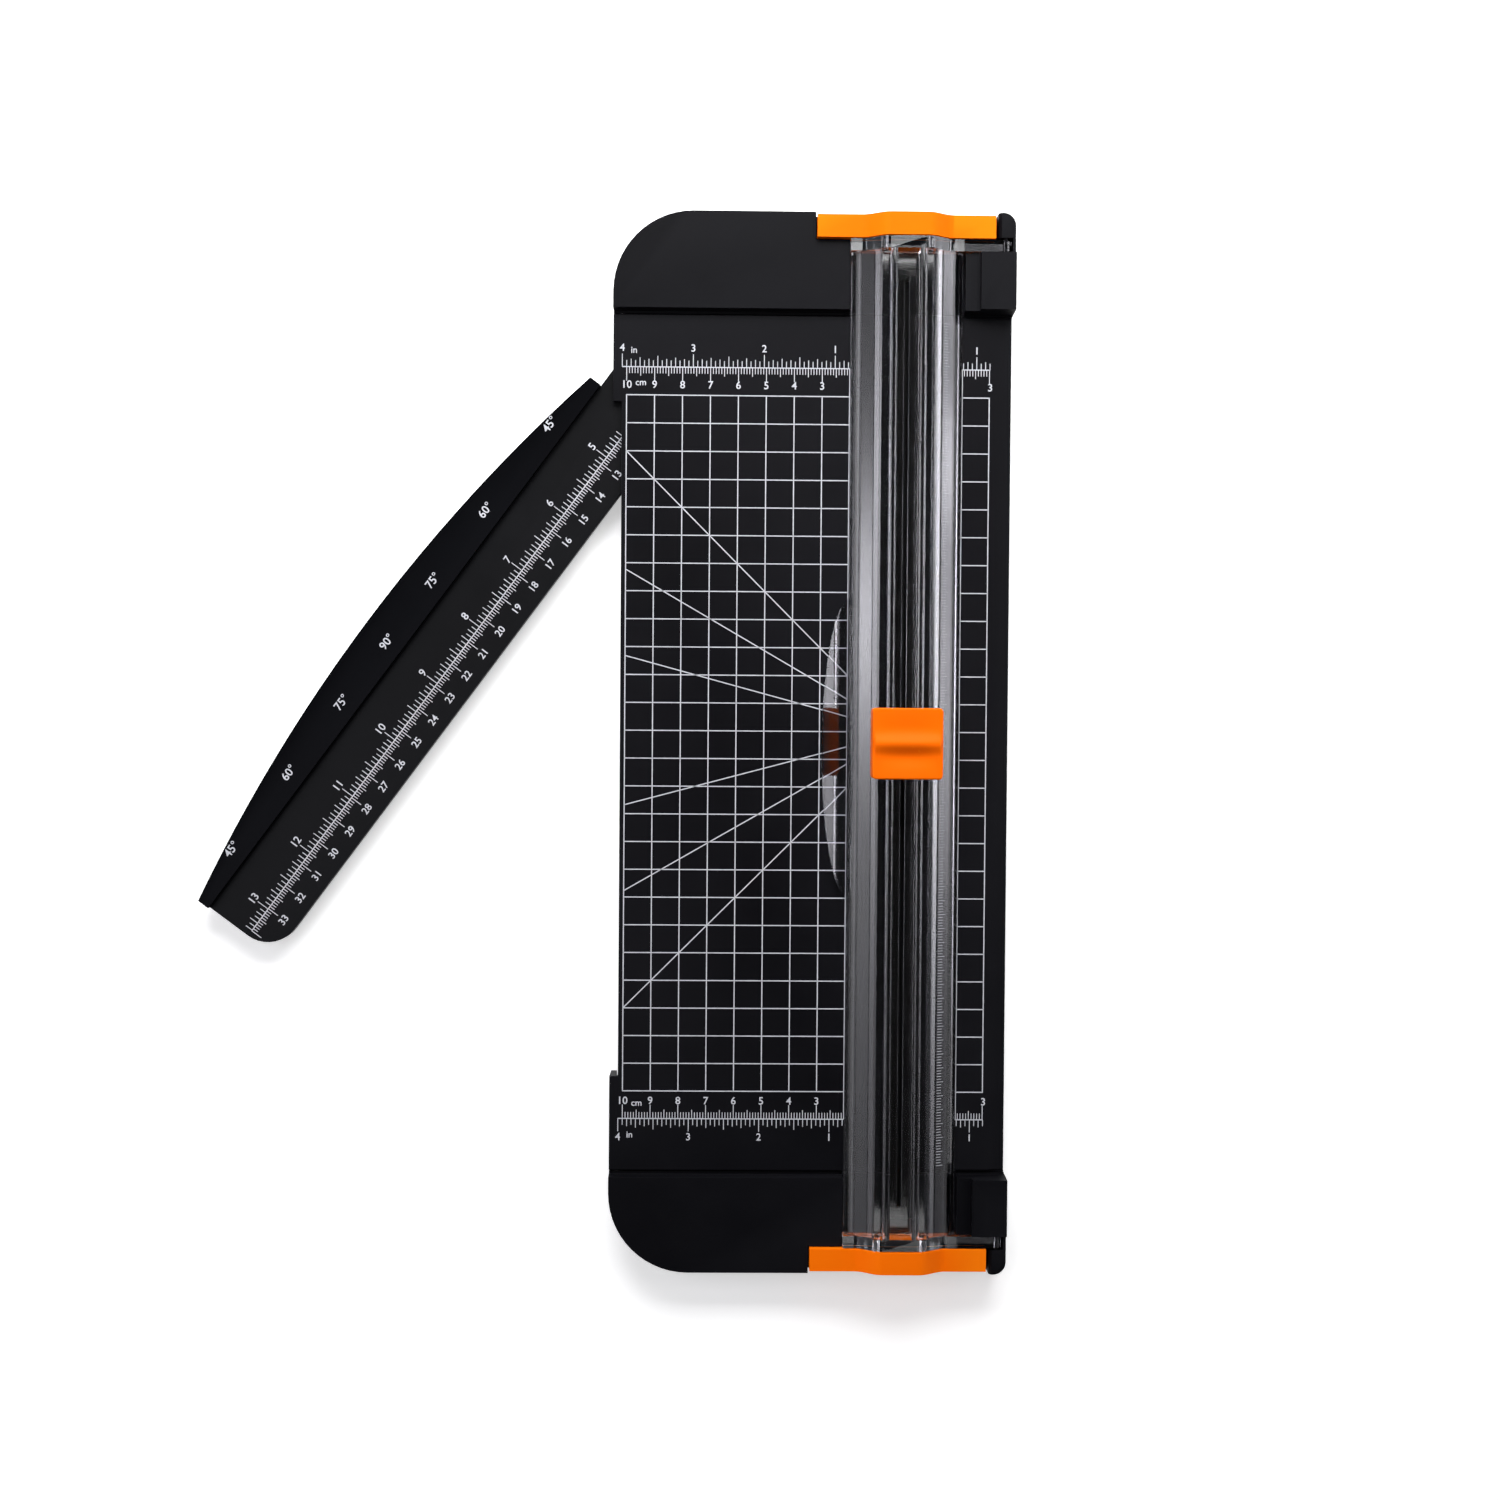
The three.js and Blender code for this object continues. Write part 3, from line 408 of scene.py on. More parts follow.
def soften(piece, width):
    """Merges the mesh, rounds its edges by width and smooths its shading."""
    weld = piece.modifiers.new("weld", "WELD")
    weld.merge_threshold = WELD_DISTANCE
    flatten = piece.modifiers.new("flatten", "DECIMATE")
    flatten.decimate_type = "DISSOLVE"
    flatten.angle_limit = math.radians(FLAT_ANGLE)
    bevel = piece.modifiers.new("bevel", "BEVEL")
    bevel.width = width * MM
    bevel.segments = 3
    bevel.limit_method = "ANGLE"
    bevel.angle_limit = math.radians(BEVEL_ANGLE)
    bevel.harden_normals = False
    shade = piece.modifiers.new("normals", "WEIGHTED_NORMAL")
    shade.keep_sharp = False
    shade.weight = 80


for part in frame["record"]["subparts"]:
    node = nodes[part["node"]]
    node.data.materials.clear()
    node.data.materials.append(FINISHES[part["material_slot"]])
    for polygon in node.data.polygons:
        polygon.use_smooth = True
    soften(node, EDGE_SOFTNESS.get(part["node"], SMALL_SOFTNESS))


# ---------------------------------------------------------------- meshes made here


def make_piece(name, data, material, body):
    """An object of this mesh and material that rides on a CAD body."""
    data.materials.append(material)
    piece = bpy.data.objects.new(name, data)
    bpy.context.scene.collection.objects.link(piece)
    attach(piece, body)
    return piece


def mesh_data(name, mesh):
    """Mesh data of a finished bmesh, with its faces turned outward."""
    bmesh.ops.recalc_face_normals(mesh, faces=mesh.faces)
    data = bpy.data.meshes.new(name)
    mesh.to_mesh(data)
    mesh.free()
    return data


def smooth_data(name, mesh):
    """Mesh data with smooth shading, except on faces of many corners, which are flat ends."""
    data = mesh_data(name, mesh)
    for polygon in data.polygons:
        polygon.use_smooth = len(polygon.vertices) <= 4
    return data


def join_rings(mesh, rings):
    """A band of faces between each ring of vertices and the next."""
    count = len(rings[0])
    for near, far in zip(rings, rings[1:]):
        for i in range(count):
            j = (i + 1) % count
            mesh.faces.new([near[i], near[j], far[j], far[i]])


INK_SINK = 0.03  # how far the ink's closed bodies reach into the surface
INK_RISE = 0.035
FONT_SIZE = 1.37  # the font's size for a figure one unit high
FONT_WEIGHT = 0.012  # how much a figure is thickened, as a share of its height


class Print:
    """Thin raised ink bodies gathered into one mesh. Points are millimetres in a flat drawing."""

    def __init__(self, to_world):
        self.mesh = bmesh.new()
        self.to_world = to_world

    def bar(self, start, end, width, level):
        """A straight stroke from start to end."""
        start, end = Vector(start), Vector(end)
        along = (end - start).normalized()
        side = Vector((-along.y, along.x)) * width / 2
        corners = [start - side, end - side, end + side, start + side]
        self.body(corners, level)

    def body(self, corners, level):
        """A closed thin body over the polygon of corners."""
        low = [self.mesh.verts.new(self.to_world(c, level - INK_SINK)) for c in corners]
        high = [self.mesh.verts.new(self.to_world(c, level + INK_RISE)) for c in corners]
        self.mesh.faces.new(list(reversed(low)))
        self.mesh.faces.new(high)
        for i in range(len(corners)):
            j = (i + 1) % len(corners)
            self.mesh.faces.new([low[i], low[j], high[j], high[i]])

    def text(self, words, middle, height, level, turn=0.0):
        """Raised characters centred on middle, turned by an angle."""
        curve = bpy.data.curves.new("words", "FONT")
        curve.body = words
        curve.size = height * FONT_SIZE
        curve.align_x = "CENTER"
        curve.align_y = "CENTER"
        curve.extrude = (INK_SINK + INK_RISE) / 2
        curve.resolution_u = 3
        curve.offset = height * FONT_WEIGHT
        holder = bpy.data.objects.new("words", curve)
        bpy.context.scene.collection.objects.link(holder)
        bpy.context.view_layer.update()
        flat = bpy.data.meshes.new_from_object(holder)
        piece = bmesh.new()
        piece.from_mesh(flat)
        bmesh.ops.remove_doubles(piece, verts=piece.verts, dist=1e-4)
        bmesh.ops.triangulate(piece, faces=piece.faces)
        spin = Matrix.Rotation(turn, 2)
        for vertex in piece.verts:
            spot = spin @ vertex.co.xy + Vector(middle)
            lift = level + (INK_RISE - INK_SINK) / 2 + vertex.co.z
            vertex.co = self.to_world(spot, lift)
        done = bpy.data.meshes.new("words")
        piece.to_mesh(done)
        piece.free()
        self.mesh.from_mesh(done)
        bpy.data.objects.remove(holder)
        bpy.data.curves.remove(curve)
        bpy.data.meshes.remove(flat)
        bpy.data.meshes.remove(done)

    def finish(self, name, body):
        """Makes one printed piece of all that was drawn."""
        make_piece(name, mesh_data(name, self.mesh), INK, body)


def on_base(point, level):
    """A drawing point measured from the cutting line, in metres in the CAD frame."""
    return Vector((point[0] + CUT_X, point[1], level)) * MM


def on_arm(point, level):
    """A drawing point (distance from the pivot, distance across), in metres in the CAD frame."""
    along = Vector((-math.sin(ARM_OPEN), -math.cos(ARM_OPEN)))
    across = Vector((math.cos(ARM_OPEN), -math.sin(ARM_OPEN)))
    spot = ARM_PIVOT + along * point[0] + across * point[1]
    return Vector((spot.x, spot.y, level)) * MM


INCH = 25.4
CENTIMETRE = 10
SIXTEENTH = INCH / 16
LINE = 0.36  # widths of the printed lines
FINE = 0.27
# How many units apart such ticks come, and how long they are, longest first.
INCH_TICKS = ((16, 4.6), (8, 3.9), (4, 3.3), (2, 2.8))
METRIC_TICKS = ((10, 5.0), (5, 3.2))
SHORT_TICK = 2.3


def tick_length(count, ticks):
    """How long the tick at a whole number of units is."""
    for step, length in ticks:
        if count % step == 0:
            return length
    return SHORT_TICK


# Places on the platform, measured from the cutting line across and from the middle along.
GRID_TOP = 125
GRID_LEFT = -100
GRID_LAST_COLUMN = -30
GRID_RIGHT = -20.2
STRIP_LEFT = 20.2  # the narrow printed strip right of the rail
STRIP_LINE = 20.3  # the long fine line down its left side
STRIP_COLUMN = 30
STRIP_RIGHT = 30.2
ANGLES = (45, 60, 75)
ANGLES_MEET_Y = 5  # where the angle lines meet the cutting line
SCALE_Y = 135
SCALE_LEFT = -4 * INCH
INCH_FIGURES = (-4, -3, -2, -1, 1)
INCH_FIGURES_Y = 141.7
INCH_FIGURE = 2.7  # heights of the figures
METRIC_FIGURES = (-10, -9, -8, -7, -6, -5, -4, -3, 3)
METRIC_FIGURES_Y = 128.6
METRIC_FIGURE = 2.8
METRIC_SHIFT = 0.3  # the figure right of the rail stands this much further out
UNIT_NAMES = (("in", (-97.4, 140.9)), ("cm", (-94.9, 129.4)))
UNIT_NAME = 2.4


def grid():
    """The 10 mm grid on both sides of the rail, and the angle lines."""
    art = Print(on_base)
    for y in range(GRID_TOP, -GRID_TOP - 1, -CENTIMETRE):
        art.bar((GRID_LEFT - LINE / 2, y), (GRID_RIGHT, y), LINE, PLATFORM_Z)
        art.bar((STRIP_LEFT, y), (STRIP_RIGHT, y), LINE, PLATFORM_Z)
    for x in range(GRID_LEFT, GRID_LAST_COLUMN + 1, CENTIMETRE):
        art.bar((x, GRID_TOP), (x, -GRID_TOP), LINE, PLATFORM_Z)
    art.bar((STRIP_COLUMN, GRID_TOP), (STRIP_COLUMN, -GRID_TOP), LINE, PLATFORM_Z)
    for x in (GRID_RIGHT, STRIP_LINE):
        art.bar((x, SCALE_Y), (x, -SCALE_Y), FINE, PLATFORM_Z)
    for degrees in ANGLES:
        rise = math.tan(math.radians(90 - degrees))
        for side in (1, -1):
            start = (GRID_LEFT, ANGLES_MEET_Y - side * GRID_LEFT * rise)
            end = (GRID_RIGHT, ANGLES_MEET_Y - side * GRID_RIGHT * rise)
            art.bar(start, end, LINE, PLATFORM_Z)
    art.finish("printed_grid", "base")


def end_scales():
    """An inch scale and a centimetre scale at each end of the platform."""
    art = Print(on_base)
    for end in (1, -1):
        line_y = end * SCALE_Y
        for low, high in ((SCALE_LEFT, GRID_RIGHT), (STRIP_LEFT, STRIP_RIGHT)):
            art.bar((low, line_y), (high, line_y), LINE, PLATFORM_Z)
            # the small share keeps the tick that falls on the scale's very start
            for count in range(math.ceil(low / SIXTEENTH - 0.01), math.floor(high / SIXTEENTH) + 1):
                x = count * SIXTEENTH
                tip_y = line_y + end * tick_length(count, INCH_TICKS)
                art.bar((x, line_y), (x, tip_y), FINE, PLATFORM_Z)
            for x in range(math.ceil(max(low, GRID_LEFT)), math.floor(high) + 1):
                tip_y = line_y - end * tick_length(x, METRIC_TICKS)
                art.bar((x, line_y), (x, tip_y), FINE, PLATFORM_Z)
        for inches in INCH_FIGURES:
            art.text(str(abs(inches)), (inches * INCH, end * INCH_FIGURES_Y), INCH_FIGURE, PLATFORM_Z)
        for centimetres in METRIC_FIGURES:
            x = centimetres * CENTIMETRE + (METRIC_SHIFT if centimetres > 0 else 0)
            art.text(str(abs(centimetres)), (x, end * METRIC_FIGURES_Y), METRIC_FIGURE, PLATFORM_Z)
        for words, (x, y) in UNIT_NAMES:
            art.text(words, (x, end * y), UNIT_NAME, PLATFORM_Z)
    art.finish("printed_end_scales", "base")


# Places on the arm, measured from its pivot along it and across it.
ARM_ZERO = 92.5  # the scales' reading at the pivot
ARM_LINE_V = 7.3
ARM_SCALE_START = 24
ARM_SCALE_END = 247.5
ARM_METRIC_SHARE = 0.85  # the centimetre ticks are shorter here than on the base
ARM_INCH_FIGURES = range(5, 14)
ARM_INCH_FIGURES_V = 0.9
ARM_INCH_FIGURE = 2.9
ARM_METRIC_FIGURES = range(13, 34)
ARM_METRIC_FIGURES_V = 14.2
ARM_METRIC_FIGURE = 2.7
ARM_ANGLES = ((45, 37.5), (60, 75.9), (75, 107.4), (90, 134.8), (75, 161.9), (60, 193.4), (45, 227.7))
ARM_ANGLES_V = -15.6
ARM_ANGLE_FIGURE = 3.1
ARM_TEXT_TURN = math.pi  # the figures read from the tip towards the pivot


def arm_scale():
    """The arm's inch and centimetre scales, and the angles printed along its bow."""
    art = Print(on_arm)
    first, last = ARM_ZERO + ARM_SCALE_START, ARM_ZERO + ARM_SCALE_END
    art.bar((ARM_SCALE_START, ARM_LINE_V), (ARM_SCALE_END, ARM_LINE_V), LINE, ARM_BAND_Z)
    for count in range(math.ceil(first / SIXTEENTH), math.floor(last / SIXTEENTH) + 1):
        along = count * SIXTEENTH - ARM_ZERO
        tip = ARM_LINE_V - tick_length(count, INCH_TICKS)
        art.bar((along, ARM_LINE_V), (along, tip), FINE, ARM_BAND_Z)
    for count in range(math.ceil(first), math.floor(last) + 1):
        along = count - ARM_ZERO
        tip = ARM_LINE_V + tick_length(count, METRIC_TICKS) * ARM_METRIC_SHARE
        art.bar((along, ARM_LINE_V), (along, tip), FINE, ARM_BAND_Z)

    def figure(words, along, across, height, level):
        art.text(words, (along, across), height, level, ARM_TEXT_TURN)

    for inches in ARM_INCH_FIGURES:
        figure(str(inches), inches * INCH - ARM_ZERO, ARM_INCH_FIGURES_V, ARM_INCH_FIGURE, ARM_BAND_Z)
    for centimetres in ARM_METRIC_FIGURES:
        along = centimetres * CENTIMETRE - ARM_ZERO
        figure(str(centimetres), along, ARM_METRIC_FIGURES_V, ARM_METRIC_FIGURE, ARM_BAND_Z)
    for degrees, along in ARM_ANGLES:
        figure(f"{degrees}°", along, ARM_ANGLES_V, ARM_ANGLE_FIGURE, ARM_BOW_Z)
    art.finish("printed_arm_scale", "ruler")


WING_CENTRE_Z = 10.6  # the rail's outer surface is a quarter ellipse about this height
WING_RADIUS_X = 20.6
WING_RADIUS_Z = 10.5
WING_TICKS_START = 12.6  # from the cutting line
WING_TICKS_END = 150  # from the middle of the rail, both ways
WING_TICK = 1.7
WING_LONG_TICK = 2.4  # every fifth
WING_TICK_WIDTH = 0.16


def on_wing(point, level):
    """A point on the rail's right wing, level above its surface, in metres in the CAD frame."""
    height = WING_CENTRE_Z + WING_RADIUS_Z * math.sqrt(1 - (point[0] / WING_RADIUS_X) ** 2)
    return Vector((point[0] + CUT_X, point[1], height + level)) * MM


def wing_ticks():
    """The fine millimetre ticks moulded along the rail's right wing."""
    art = Print(on_wing)
    for y in range(-WING_TICKS_END, WING_TICKS_END + 1):
        length = WING_LONG_TICK if y % 5 == 0 else WING_TICK
        art.bar((WING_TICKS_START, y), (WING_TICKS_START + length, y), WING_TICK_WIDTH, 0)
    art.finish("moulded_rail_ticks", "rail")


grid()
end_scales()
arm_scale()
wing_ticks()


# ---------------------------------------------------------------- the cartridge's cover

BUTTON_MIDDLE = (BUTTON[0] + BUTTON[1]) / 2 / MM
BUTTON_HALF = (BUTTON[1] - BUTTON[0]) / 2 / MM
BUTTON_BOTTOM = BUTTON[0].z / MM
BUTTON_TOP = 31.0
BUTTON_CORNER = 1.4
BUTTON_EDGE = 0.6  # how much the top edge is rounded
BUTTON_WALL = 1.7
END_WALL_BOTTOM = 23.7  # the end walls stop above the rail's tracks
END_WALL_HALF = 10.7
END_WALL_BLEND = 0.3
END_WALL_FACES = (2.2, 1.9)  # from the cover's end, where the raised bottom edge starts and is full
CAVITY_TOP = 28.2
CAVITY_FILLET = 0.5
FOOT_EDGE = 0.3  # how far up the outer wall its rounded bottom edge reaches
RIDGE_HEIGHT = BUTTON[1].z / MM - BUTTON_TOP
RIDGE_WIDTH = 2.8
RIDGE_ENDS = (1.2, 0.2)  # from the cover's side, where the ridge starts to fall and is gone
SCOOP_DEPTH = 0.8  # on the foot side, where it is the deeper one
HEAD_SCOOP_DEPTH = 0.35
SCOOP_MIDDLE = 5.0  # distance of each scoop's deepest line from the ridge
SCOOP_WIDTH = 3.2
SCOOP_MARGIN = 2.0  # from the cover's side to the scoop's end
OUTLINE_POINTS = 192
TOP_EDGE_STEPS = 6
TOP_RINGS = 44


def rounded_rectangle(half_x, half_y, radius):
    """Points round a rectangle with rounded corners, evenly spaced by angle, anticlockwise."""
    points = []
    radius = min(max(radius, 0.05), half_x, half_y)
    corner = Vector((half_x - radius, half_y - radius))
    for i in range(OUTLINE_POINTS):
        angle = 2 * math.pi * (i + 0.5) / OUTLINE_POINTS
        x, y = math.cos(angle), math.sin(angle)
        reach = min(half_x / max(abs(x), 1e-9), half_y / max(abs(y), 1e-9))
        if abs(x) * reach > corner.x and abs(y) * reach > corner.y:
            # the ray from the middle meets the corner's circle
            along = Vector((abs(x), abs(y))).dot(corner)
            reach = along + math.sqrt(max(along * along - corner.length_squared + radius * radius, 0))
        points.append(Vector((x * reach, y * reach)))
    return points


def smooth_step(value, low, high):
    """0 below low, 1 above high, and a smooth rise between them."""
    share = min(max((value - low) / (high - low), 0.0), 1.0)
    return share * share * (3 - 2 * share)


def bell(value, middle, spread):
    """1 at the middle, falling smoothly to nearly 0 two spreads away."""
    return math.exp(-(((value - middle) / spread) ** 2))


def button_top(x, y):
    """Height of the cover's top above its flat level: a ridge across it, with a scoop either side."""
    across = 1 - smooth_step(abs(x), BUTTON_HALF.x - RIDGE_ENDS[0], BUTTON_HALF.x - RIDGE_ENDS[1])
    ridge = RIDGE_HEIGHT * bell(y, 0.0, RIDGE_WIDTH) * across
    width = max(0.0, 1 - (x / (BUTTON_HALF.x - SCOOP_MARGIN)) ** 2)
    depth = HEAD_SCOOP_DEPTH if y > 0 else SCOOP_DEPTH
    scoop = depth * bell(abs(y), SCOOP_MIDDLE, SCOOP_WIDTH) * width**0.8
    return ridge - scoop


def wall_bottom(x, y):
    """Height of the walls' bottom edge: low at the sides, and higher where the end walls cross the rail."""
    on_end = smooth_step(abs(y), BUTTON_HALF.y - END_WALL_FACES[0], BUTTON_HALF.y - END_WALL_FACES[1])
    inside = 1 - smooth_step(abs(x), END_WALL_HALF - END_WALL_BLEND, END_WALL_HALF + END_WALL_BLEND)
    return BUTTON_BOTTOM + (END_WALL_BOTTOM - BUTTON_BOTTOM) * on_end * inside


def press_button():
    """The cartridge's hollow cover, as one closed skin.

    Its rings start at the middle of the ceiling, go round the walls' bottom edge, and end at the middle
    of the top.
    """
    mesh = bmesh.new()
    half = min(BUTTON_HALF.x, BUTTON_HALF.y)
    rings = []

    def ring(inset, level):
        """Adds a loop this far inside the outer wall. level gives its height at (x, y)."""
        radius = BUTTON_CORNER - inset * 0.8
        loop = []
        for spot in rounded_rectangle(BUTTON_HALF.x - inset, BUTTON_HALF.y - inset, radius):
            height = level(spot.x, spot.y)
            place = Vector((spot.x + BUTTON_MIDDLE.x, spot.y + BUTTON_MIDDLE.y, height))
            loop.append(mesh.verts.new(place * MM))
        rings.append(loop)

    def wall(share, inset, low, high):
        """A ring on a wall, a share of the way from low above its bottom edge to the height high."""
        ring(inset, lambda x, y: wall_bottom(x, y) + low + (high - low - wall_bottom(x, y)) * share)

    # the cavity's ceiling and its rounded edge
    for share in (0.25, 0.5, 0.75):
        ring(BUTTON_WALL + (half - BUTTON_WALL) * (1 - share), lambda x, y: CAVITY_TOP)
    for inset, drop in ((0.4, 0), (0.1, 0.15), (0, CAVITY_FILLET)):
        ring(BUTTON_WALL + inset, lambda x, y: CAVITY_TOP - drop)
    # down the inner wall, under its bottom edge, and up the outer wall
    for share in (0.7, 0.4, 0.15):
        wall(share, BUTTON_WALL, 0, CAVITY_TOP - CAVITY_FILLET)
    for inset, rise in (
        (BUTTON_WALL - 0.05, 0.12),
        (BUTTON_WALL - 0.2, 0),
        (BUTTON_WALL * 0.5, 0),
        (0.25, 0),
        (0.08, 0.08),
        (0.0, FOOT_EDGE),
    ):
        ring(inset, lambda x, y: wall_bottom(x, y) + rise)
    flat = BUTTON_TOP - BUTTON_EDGE
    for share in (0.25, 0.5, 0.75):
        wall(share, 0.0, FOOT_EDGE, flat)
    # over the rounded top edge and in to the middle of the top
    for step in range(TOP_EDGE_STEPS + 1):
        angle = math.pi / 2 * step / TOP_EDGE_STEPS
        rise = BUTTON_EDGE * math.sin(angle)
        inset = BUTTON_EDGE * (1 - math.cos(angle))
        ring(inset, lambda x, y: flat + rise + button_top(x, y) * rise / BUTTON_EDGE)
    for step in range(1, TOP_RINGS):
        inset = BUTTON_EDGE + (half - BUTTON_EDGE) * step / TOP_RINGS
        ring(inset, lambda x, y: BUTTON_TOP + button_top(x, y))

    join_rings(mesh, rings)
    for loop, height in ((rings[0], CAVITY_TOP), (rings[-1], BUTTON_TOP + button_top(0, 0))):
        middle = mesh.verts.new(Vector((BUTTON_MIDDLE.x, BUTTON_MIDDLE.y, height)) * MM)
        for i in range(OUTLINE_POINTS):
            mesh.faces.new([loop[i], loop[(i + 1) % OUTLINE_POINTS], middle])
    data = smooth_data("cartridge_cover", mesh)
    cover = make_piece("cartridge_cover", data, BUTTON_ORANGE, "button")
    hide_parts("press_button")


press_button()


# ---------------------------------------------------------------- the return springs

SPRING_WIRE = 0.3  # radius of the wire
SPRING_COIL = 1.8  # radius of the coil's middle line
SPRING_TURNS = 4
STEPS_PER_TURN = 40
WIRE_SIDES = 12


def return_spring(name):
    """A smooth coil of round wire in place of the CAD node."""
    low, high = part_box(name)
    middle = Vector(((low.x + high.x) / 2, (low.y + high.y) / 2)) / MM
    bottom, top = low.z / MM, high.z / MM
    steps = SPRING_TURNS * STEPS_PER_TURN
    mesh = bmesh.new()
    rings = []
    for step in range(steps + 1):
        share = step / steps
        angle = 2 * math.pi * SPRING_TURNS * share
        outward = Vector((math.cos(angle), math.sin(angle), 0))
        height = bottom + SPRING_WIRE + (top - bottom - 2 * SPRING_WIRE) * share
        centre = Vector((middle.x, middle.y, height)) + outward * SPRING_COIL
        ring = []
        for side in range(WIRE_SIDES):
            turn = 2 * math.pi * side / WIRE_SIDES
            offset = outward * math.cos(turn) + Vector((0, 0, math.sin(turn)))
            ring.append(mesh.verts.new((centre + offset * SPRING_WIRE) * MM))
        rings.append(ring)
    join_rings(mesh, rings)
    mesh.faces.new(rings[0])
    mesh.faces.new(rings[-1])
    data = smooth_data(f"{name}_coil", mesh)
    coil = make_piece(f"{name}_coil", data, WIRE_STEEL, "carriage")
    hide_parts(name)
    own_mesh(coil)


return_spring("return_spring_left")
return_spring("return_spring_right")


# ---------------------------------------------------------------- floor

FLOOR_SIZE = 8  # metres
FLOOR_GLOW = 0.5  # the floor is a lit white table, so shadows on it stay faint


def floor_material():
    """Plain white, faintly cloudy."""
    shader = Shader("pale_floor")
    cloud = shader.noise(3, 3)
    fine = shader.noise(400, 3)
    colour = shader.mix(shader.span(cloud, 0, 1), (0.86, 0.86, 0.86, 1), (0.9, 0.9, 0.9, 1))
    shader.principled(
        Base_Color=colour,
        Roughness=shader.span(fine, 0.8, 0.95),
        Specular_IOR_Level=0.1,
        Emission_Color=(1, 1, 1, 1),
        Emission_Strength=FLOOR_GLOW,
    )
    return shader.material


bpy.ops.mesh.primitive_plane_add(size=FLOOR_SIZE)
floor = bpy.context.object
floor.name = "floor"
floor.data.materials.append(floor_material())


# ---------------------------------------------------------------- lights and surroundings, in metres

PURE_WHITE = (1, 1, 1)
COOL_WHITE = (0.95, 0.94, 1.0)
GRADED_AIM = (CUT_X * MM, 0, 0.015)  # in the rail
GRADED_DISTANCE = 0.95
GRADED_HALF = 0.48  # half the graded softboxes' length
GRADED_STOPS = 31


def softbox(name, aim, azimuth, elevation, distance, width, length, radiance, colour=PURE_WHITE):
    """A rectangular area light of a given radiance that faces aim.

    Azimuth 0 is +X. A light at azimuth 0 or 180 has its length along Y.
    """
    data = bpy.data.lights.new(name, "AREA")
    data.shape = "RECTANGLE"
    data.size = width
    data.size_y = length
    data.energy = radiance * math.pi * width * length
    data.color = colour
    light = bpy.data.objects.new(name, data)
    turn, tilt = math.radians(azimuth), math.radians(elevation)
    away = Vector((math.cos(turn) * math.cos(tilt), math.sin(turn) * math.cos(tilt), math.sin(tilt)))
    side = away.cross(Vector((0, 1, 0))).normalized()
    up = side.cross(-away).normalized()
    basis = Matrix((side, -up, away)).transposed()
    light.matrix_world = Matrix.Translation(Vector(aim) + away * distance) @ basis.to_4x4()
    bpy.context.scene.collection.objects.link(light)
    return light


def graded_softbox(name, azimuth, elevation, width, even, bells, gloss_only=False):
    """A long softbox whose radiance varies along Y, as even plus bells of (radiance, middle, spread).

    With gloss_only it shows in reflections and doesn't light matt surfaces.
    """
    shares = [i / (GRADED_STOPS - 1) for i in range(GRADED_STOPS)]
    levels = []
    for share in shares:
        y = (2 * share - 1) * GRADED_HALF
        levels.append(even + sum(radiance * bell(y, middle, spread) for radiance, middle, spread in bells))
    light = softbox(
        name,
        GRADED_AIM,
        azimuth,
        elevation,
        distance=GRADED_DISTANCE,
        width=width,
        length=2 * GRADED_HALF,
        radiance=max(levels),
        colour=COOL_WHITE,
    )
    light.visible_diffuse = not gloss_only
    light.data.use_nodes = True
    tree = light.data.node_tree
    tree.nodes.clear()
    split = tree.nodes.new("ShaderNodeSeparateXYZ")
    tree.links.new(tree.nodes.new("ShaderNodeNewGeometry").outputs["Parametric"], split.inputs[0])
    ramp = tree.nodes.new("ShaderNodeValToRGB")
    tree.links.new(split.outputs["Y"], ramp.inputs["Fac"])
    stops = ramp.color_ramp.elements
    for share in shares[1:-1]:
        stops.new(share)
    for stop, level in zip(stops, levels):
        stop.color = (*[level / max(levels)] * 3, 1)
    emission = tree.nodes.new("ShaderNodeEmission")
    tree.links.new(ramp.outputs["Color"], emission.inputs["Color"])
    output = tree.nodes.new("ShaderNodeOutputLight")
    tree.links.new(emission.outputs["Emission"], output.inputs["Surface"])


# Each of these is mirrored in the rail's clear wings, and its elevation says where its band shows.
GRADED_SOFTBOXES = (
    {"name": "left_high", "azimuth": 180, "elevation": 60, "width": 0.17, "even": 1.0,
     "bells": [(5.0, 0.17, 0.28)]},
    {"name": "left_main", "azimuth": 180, "elevation": 39, "width": 0.5, "even": 0.5,
     "bells": [(1.4, 0.0, 0.3), (5.6, 0.1, 0.11)], "gloss_only": True},
    {"name": "left_low", "azimuth": 180, "elevation": 13, "width": 0.27, "even": 0.9,
     "bells": [(2.2, 0.15, 0.3)]},
    {"name": "right_high", "azimuth": 0, "elevation": 54, "width": 0.13, "even": 0.2,
     "bells": [(6.0, 0.25, 0.14)]},
    {"name": "right_line", "azimuth": 0, "elevation": 46.4, "width": 0.1, "even": 0.8,
     "bells": [(10.7, 0.1, 0.3), (8.0, 0.44, 0.15)], "gloss_only": True},
    {"name": "right_main", "azimuth": 0, "elevation": 25.5, "width": 0.52, "even": 0.4,
     "bells": [(3.8, 0.05, 0.19), (5.2, 0.235, 0.06), (4.0, 0.42, 0.09)], "gloss_only": True},
)
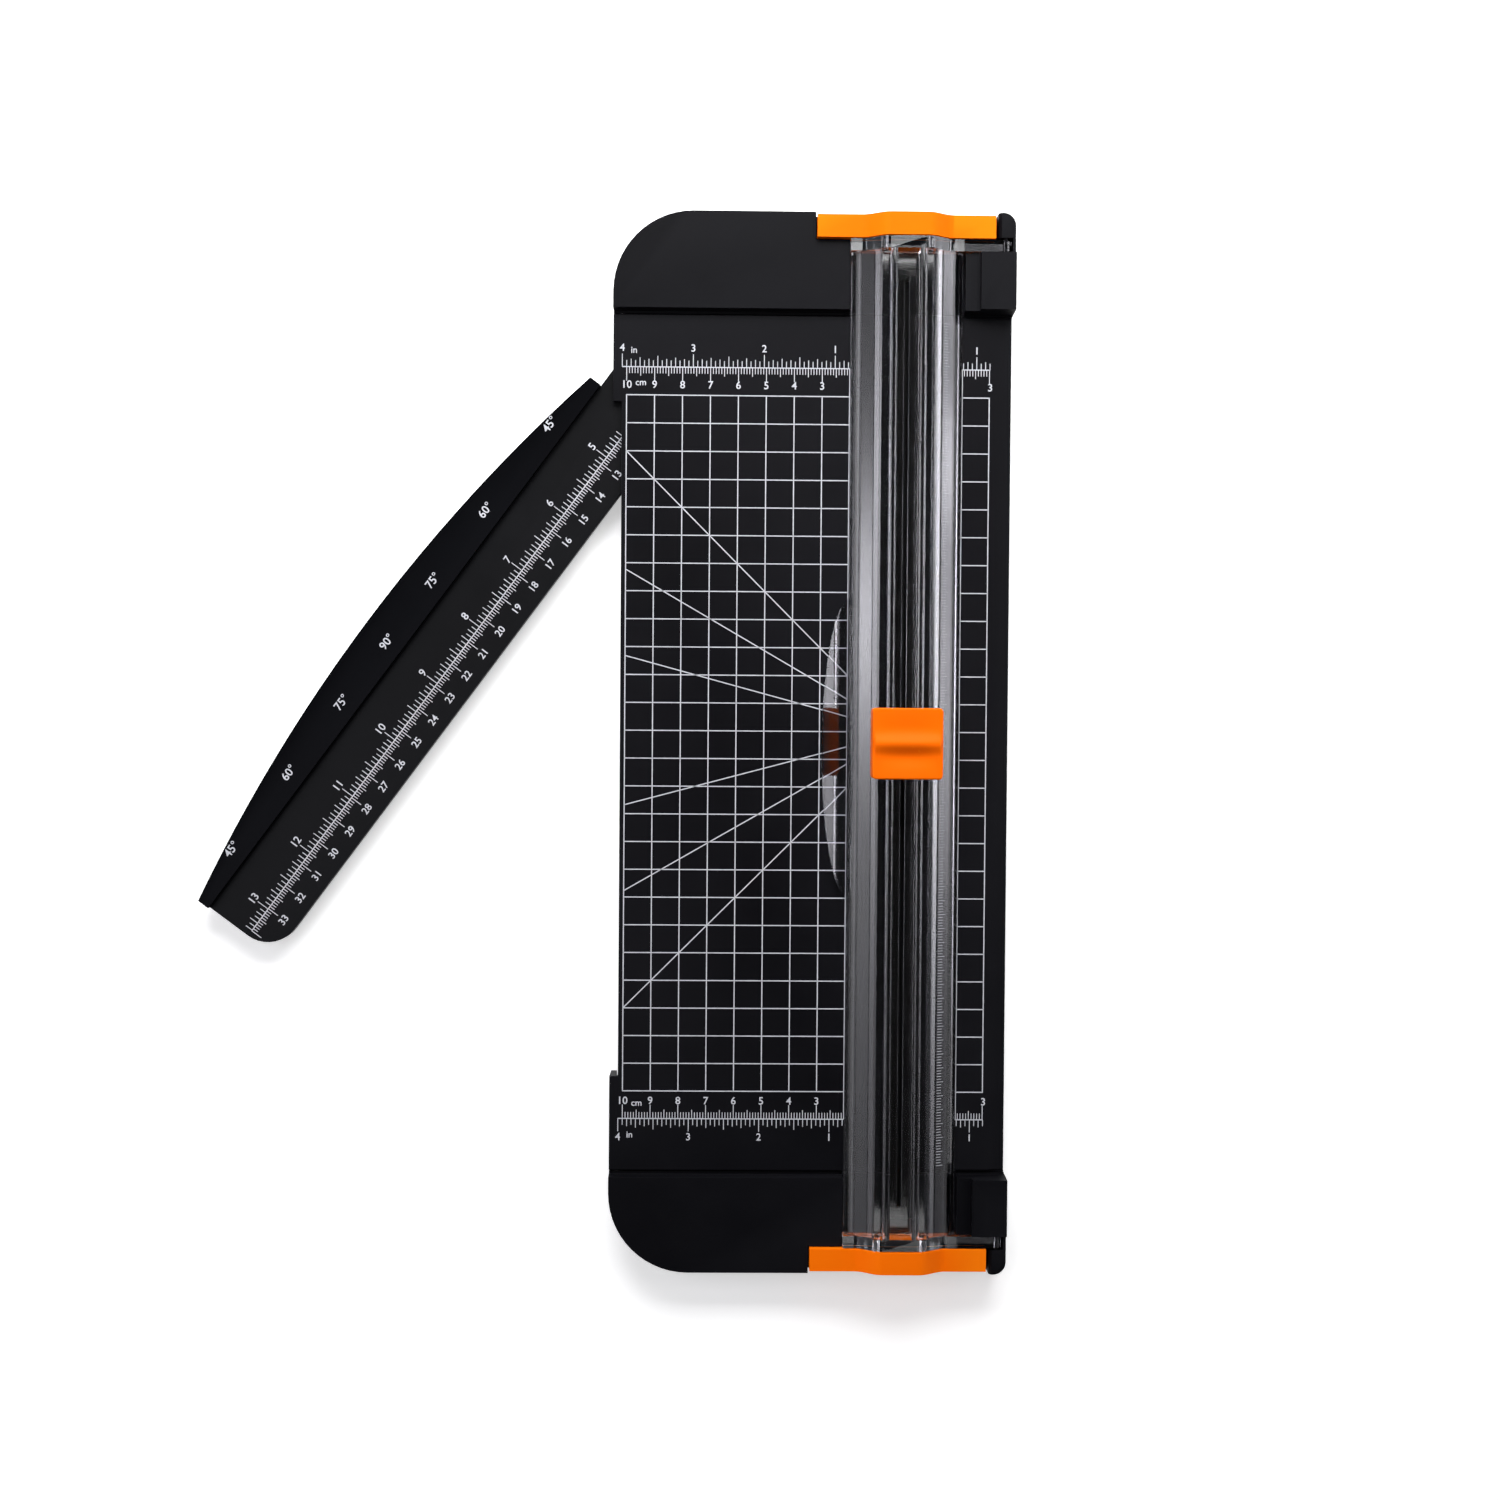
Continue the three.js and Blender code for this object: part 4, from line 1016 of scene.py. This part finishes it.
# These three have an even radiance. The first lights the solid colours, more at the head than at the
# foot, and the small ones overhead are for the rail's end flanges, which mirror them.
PLAIN_SOFTBOXES = (
    {"name": "softbox_head", "aim": (0.0, 0.1, 0), "azimuth": 90, "elevation": 45, "distance": 0.7,
     "width": 0.7, "length": 0.4, "radiance": 12.0},
    {"name": "flange_light_head", "aim": (0.052, 0.178, 0.021), "azimuth": 74, "elevation": 73.5,
     "distance": 0.95, "width": 0.15, "length": 0.06, "radiance": 6.0},
    {"name": "flange_light_foot", "aim": (0.052, -0.178, 0.021), "azimuth": -74, "elevation": 72.5,
     "distance": 0.95, "width": 0.15, "length": 0.06, "radiance": 1.6},
)


def studio_world():
    """Pale near the horizon and dim overhead, with less light from the foot end than from the head end."""
    world = bpy.data.worlds.new("studio")
    world.use_nodes = True
    tree = world.node_tree
    split = tree.nodes.new("ShaderNodeSeparateXYZ")
    tree.links.new(tree.nodes.new("ShaderNodeTexCoord").outputs["Generated"], split.inputs[0])

    def ramp(value, from_low, from_high, to_low, to_high):
        node = tree.nodes.new("ShaderNodeMapRange")
        node.interpolation_type = "SMOOTHSTEP"
        node.inputs["From Min"].default_value = from_low
        node.inputs["From Max"].default_value = from_high
        node.inputs["To Min"].default_value = to_low
        node.inputs["To Max"].default_value = to_high
        tree.links.new(value, node.inputs["Value"])
        return node.outputs["Result"]

    by_height = ramp(split.outputs["Z"], from_low=0.0, from_high=0.55, to_low=0.6, to_high=0.05)
    by_end = ramp(split.outputs["Y"], from_low=-0.8, from_high=0.6, to_low=0.45, to_high=1.1)
    product = tree.nodes.new("ShaderNodeMath")
    product.operation = "MULTIPLY"
    tree.links.new(by_height, product.inputs[0])
    tree.links.new(by_end, product.inputs[1])
    background = tree.nodes["Background"]
    background.inputs["Color"].default_value = (1, 1, 1, 1)
    tree.links.new(product.outputs[0], background.inputs["Strength"])
    bpy.context.scene.world = world


for settings in GRADED_SOFTBOXES:
    graded_softbox(**settings)
for settings in PLAIN_SOFTBOXES:
    softbox(**settings)
studio_world()

bpy.context.scene.view_settings.view_transform = "Standard"
bpy.context.scene.view_settings.look = "None"
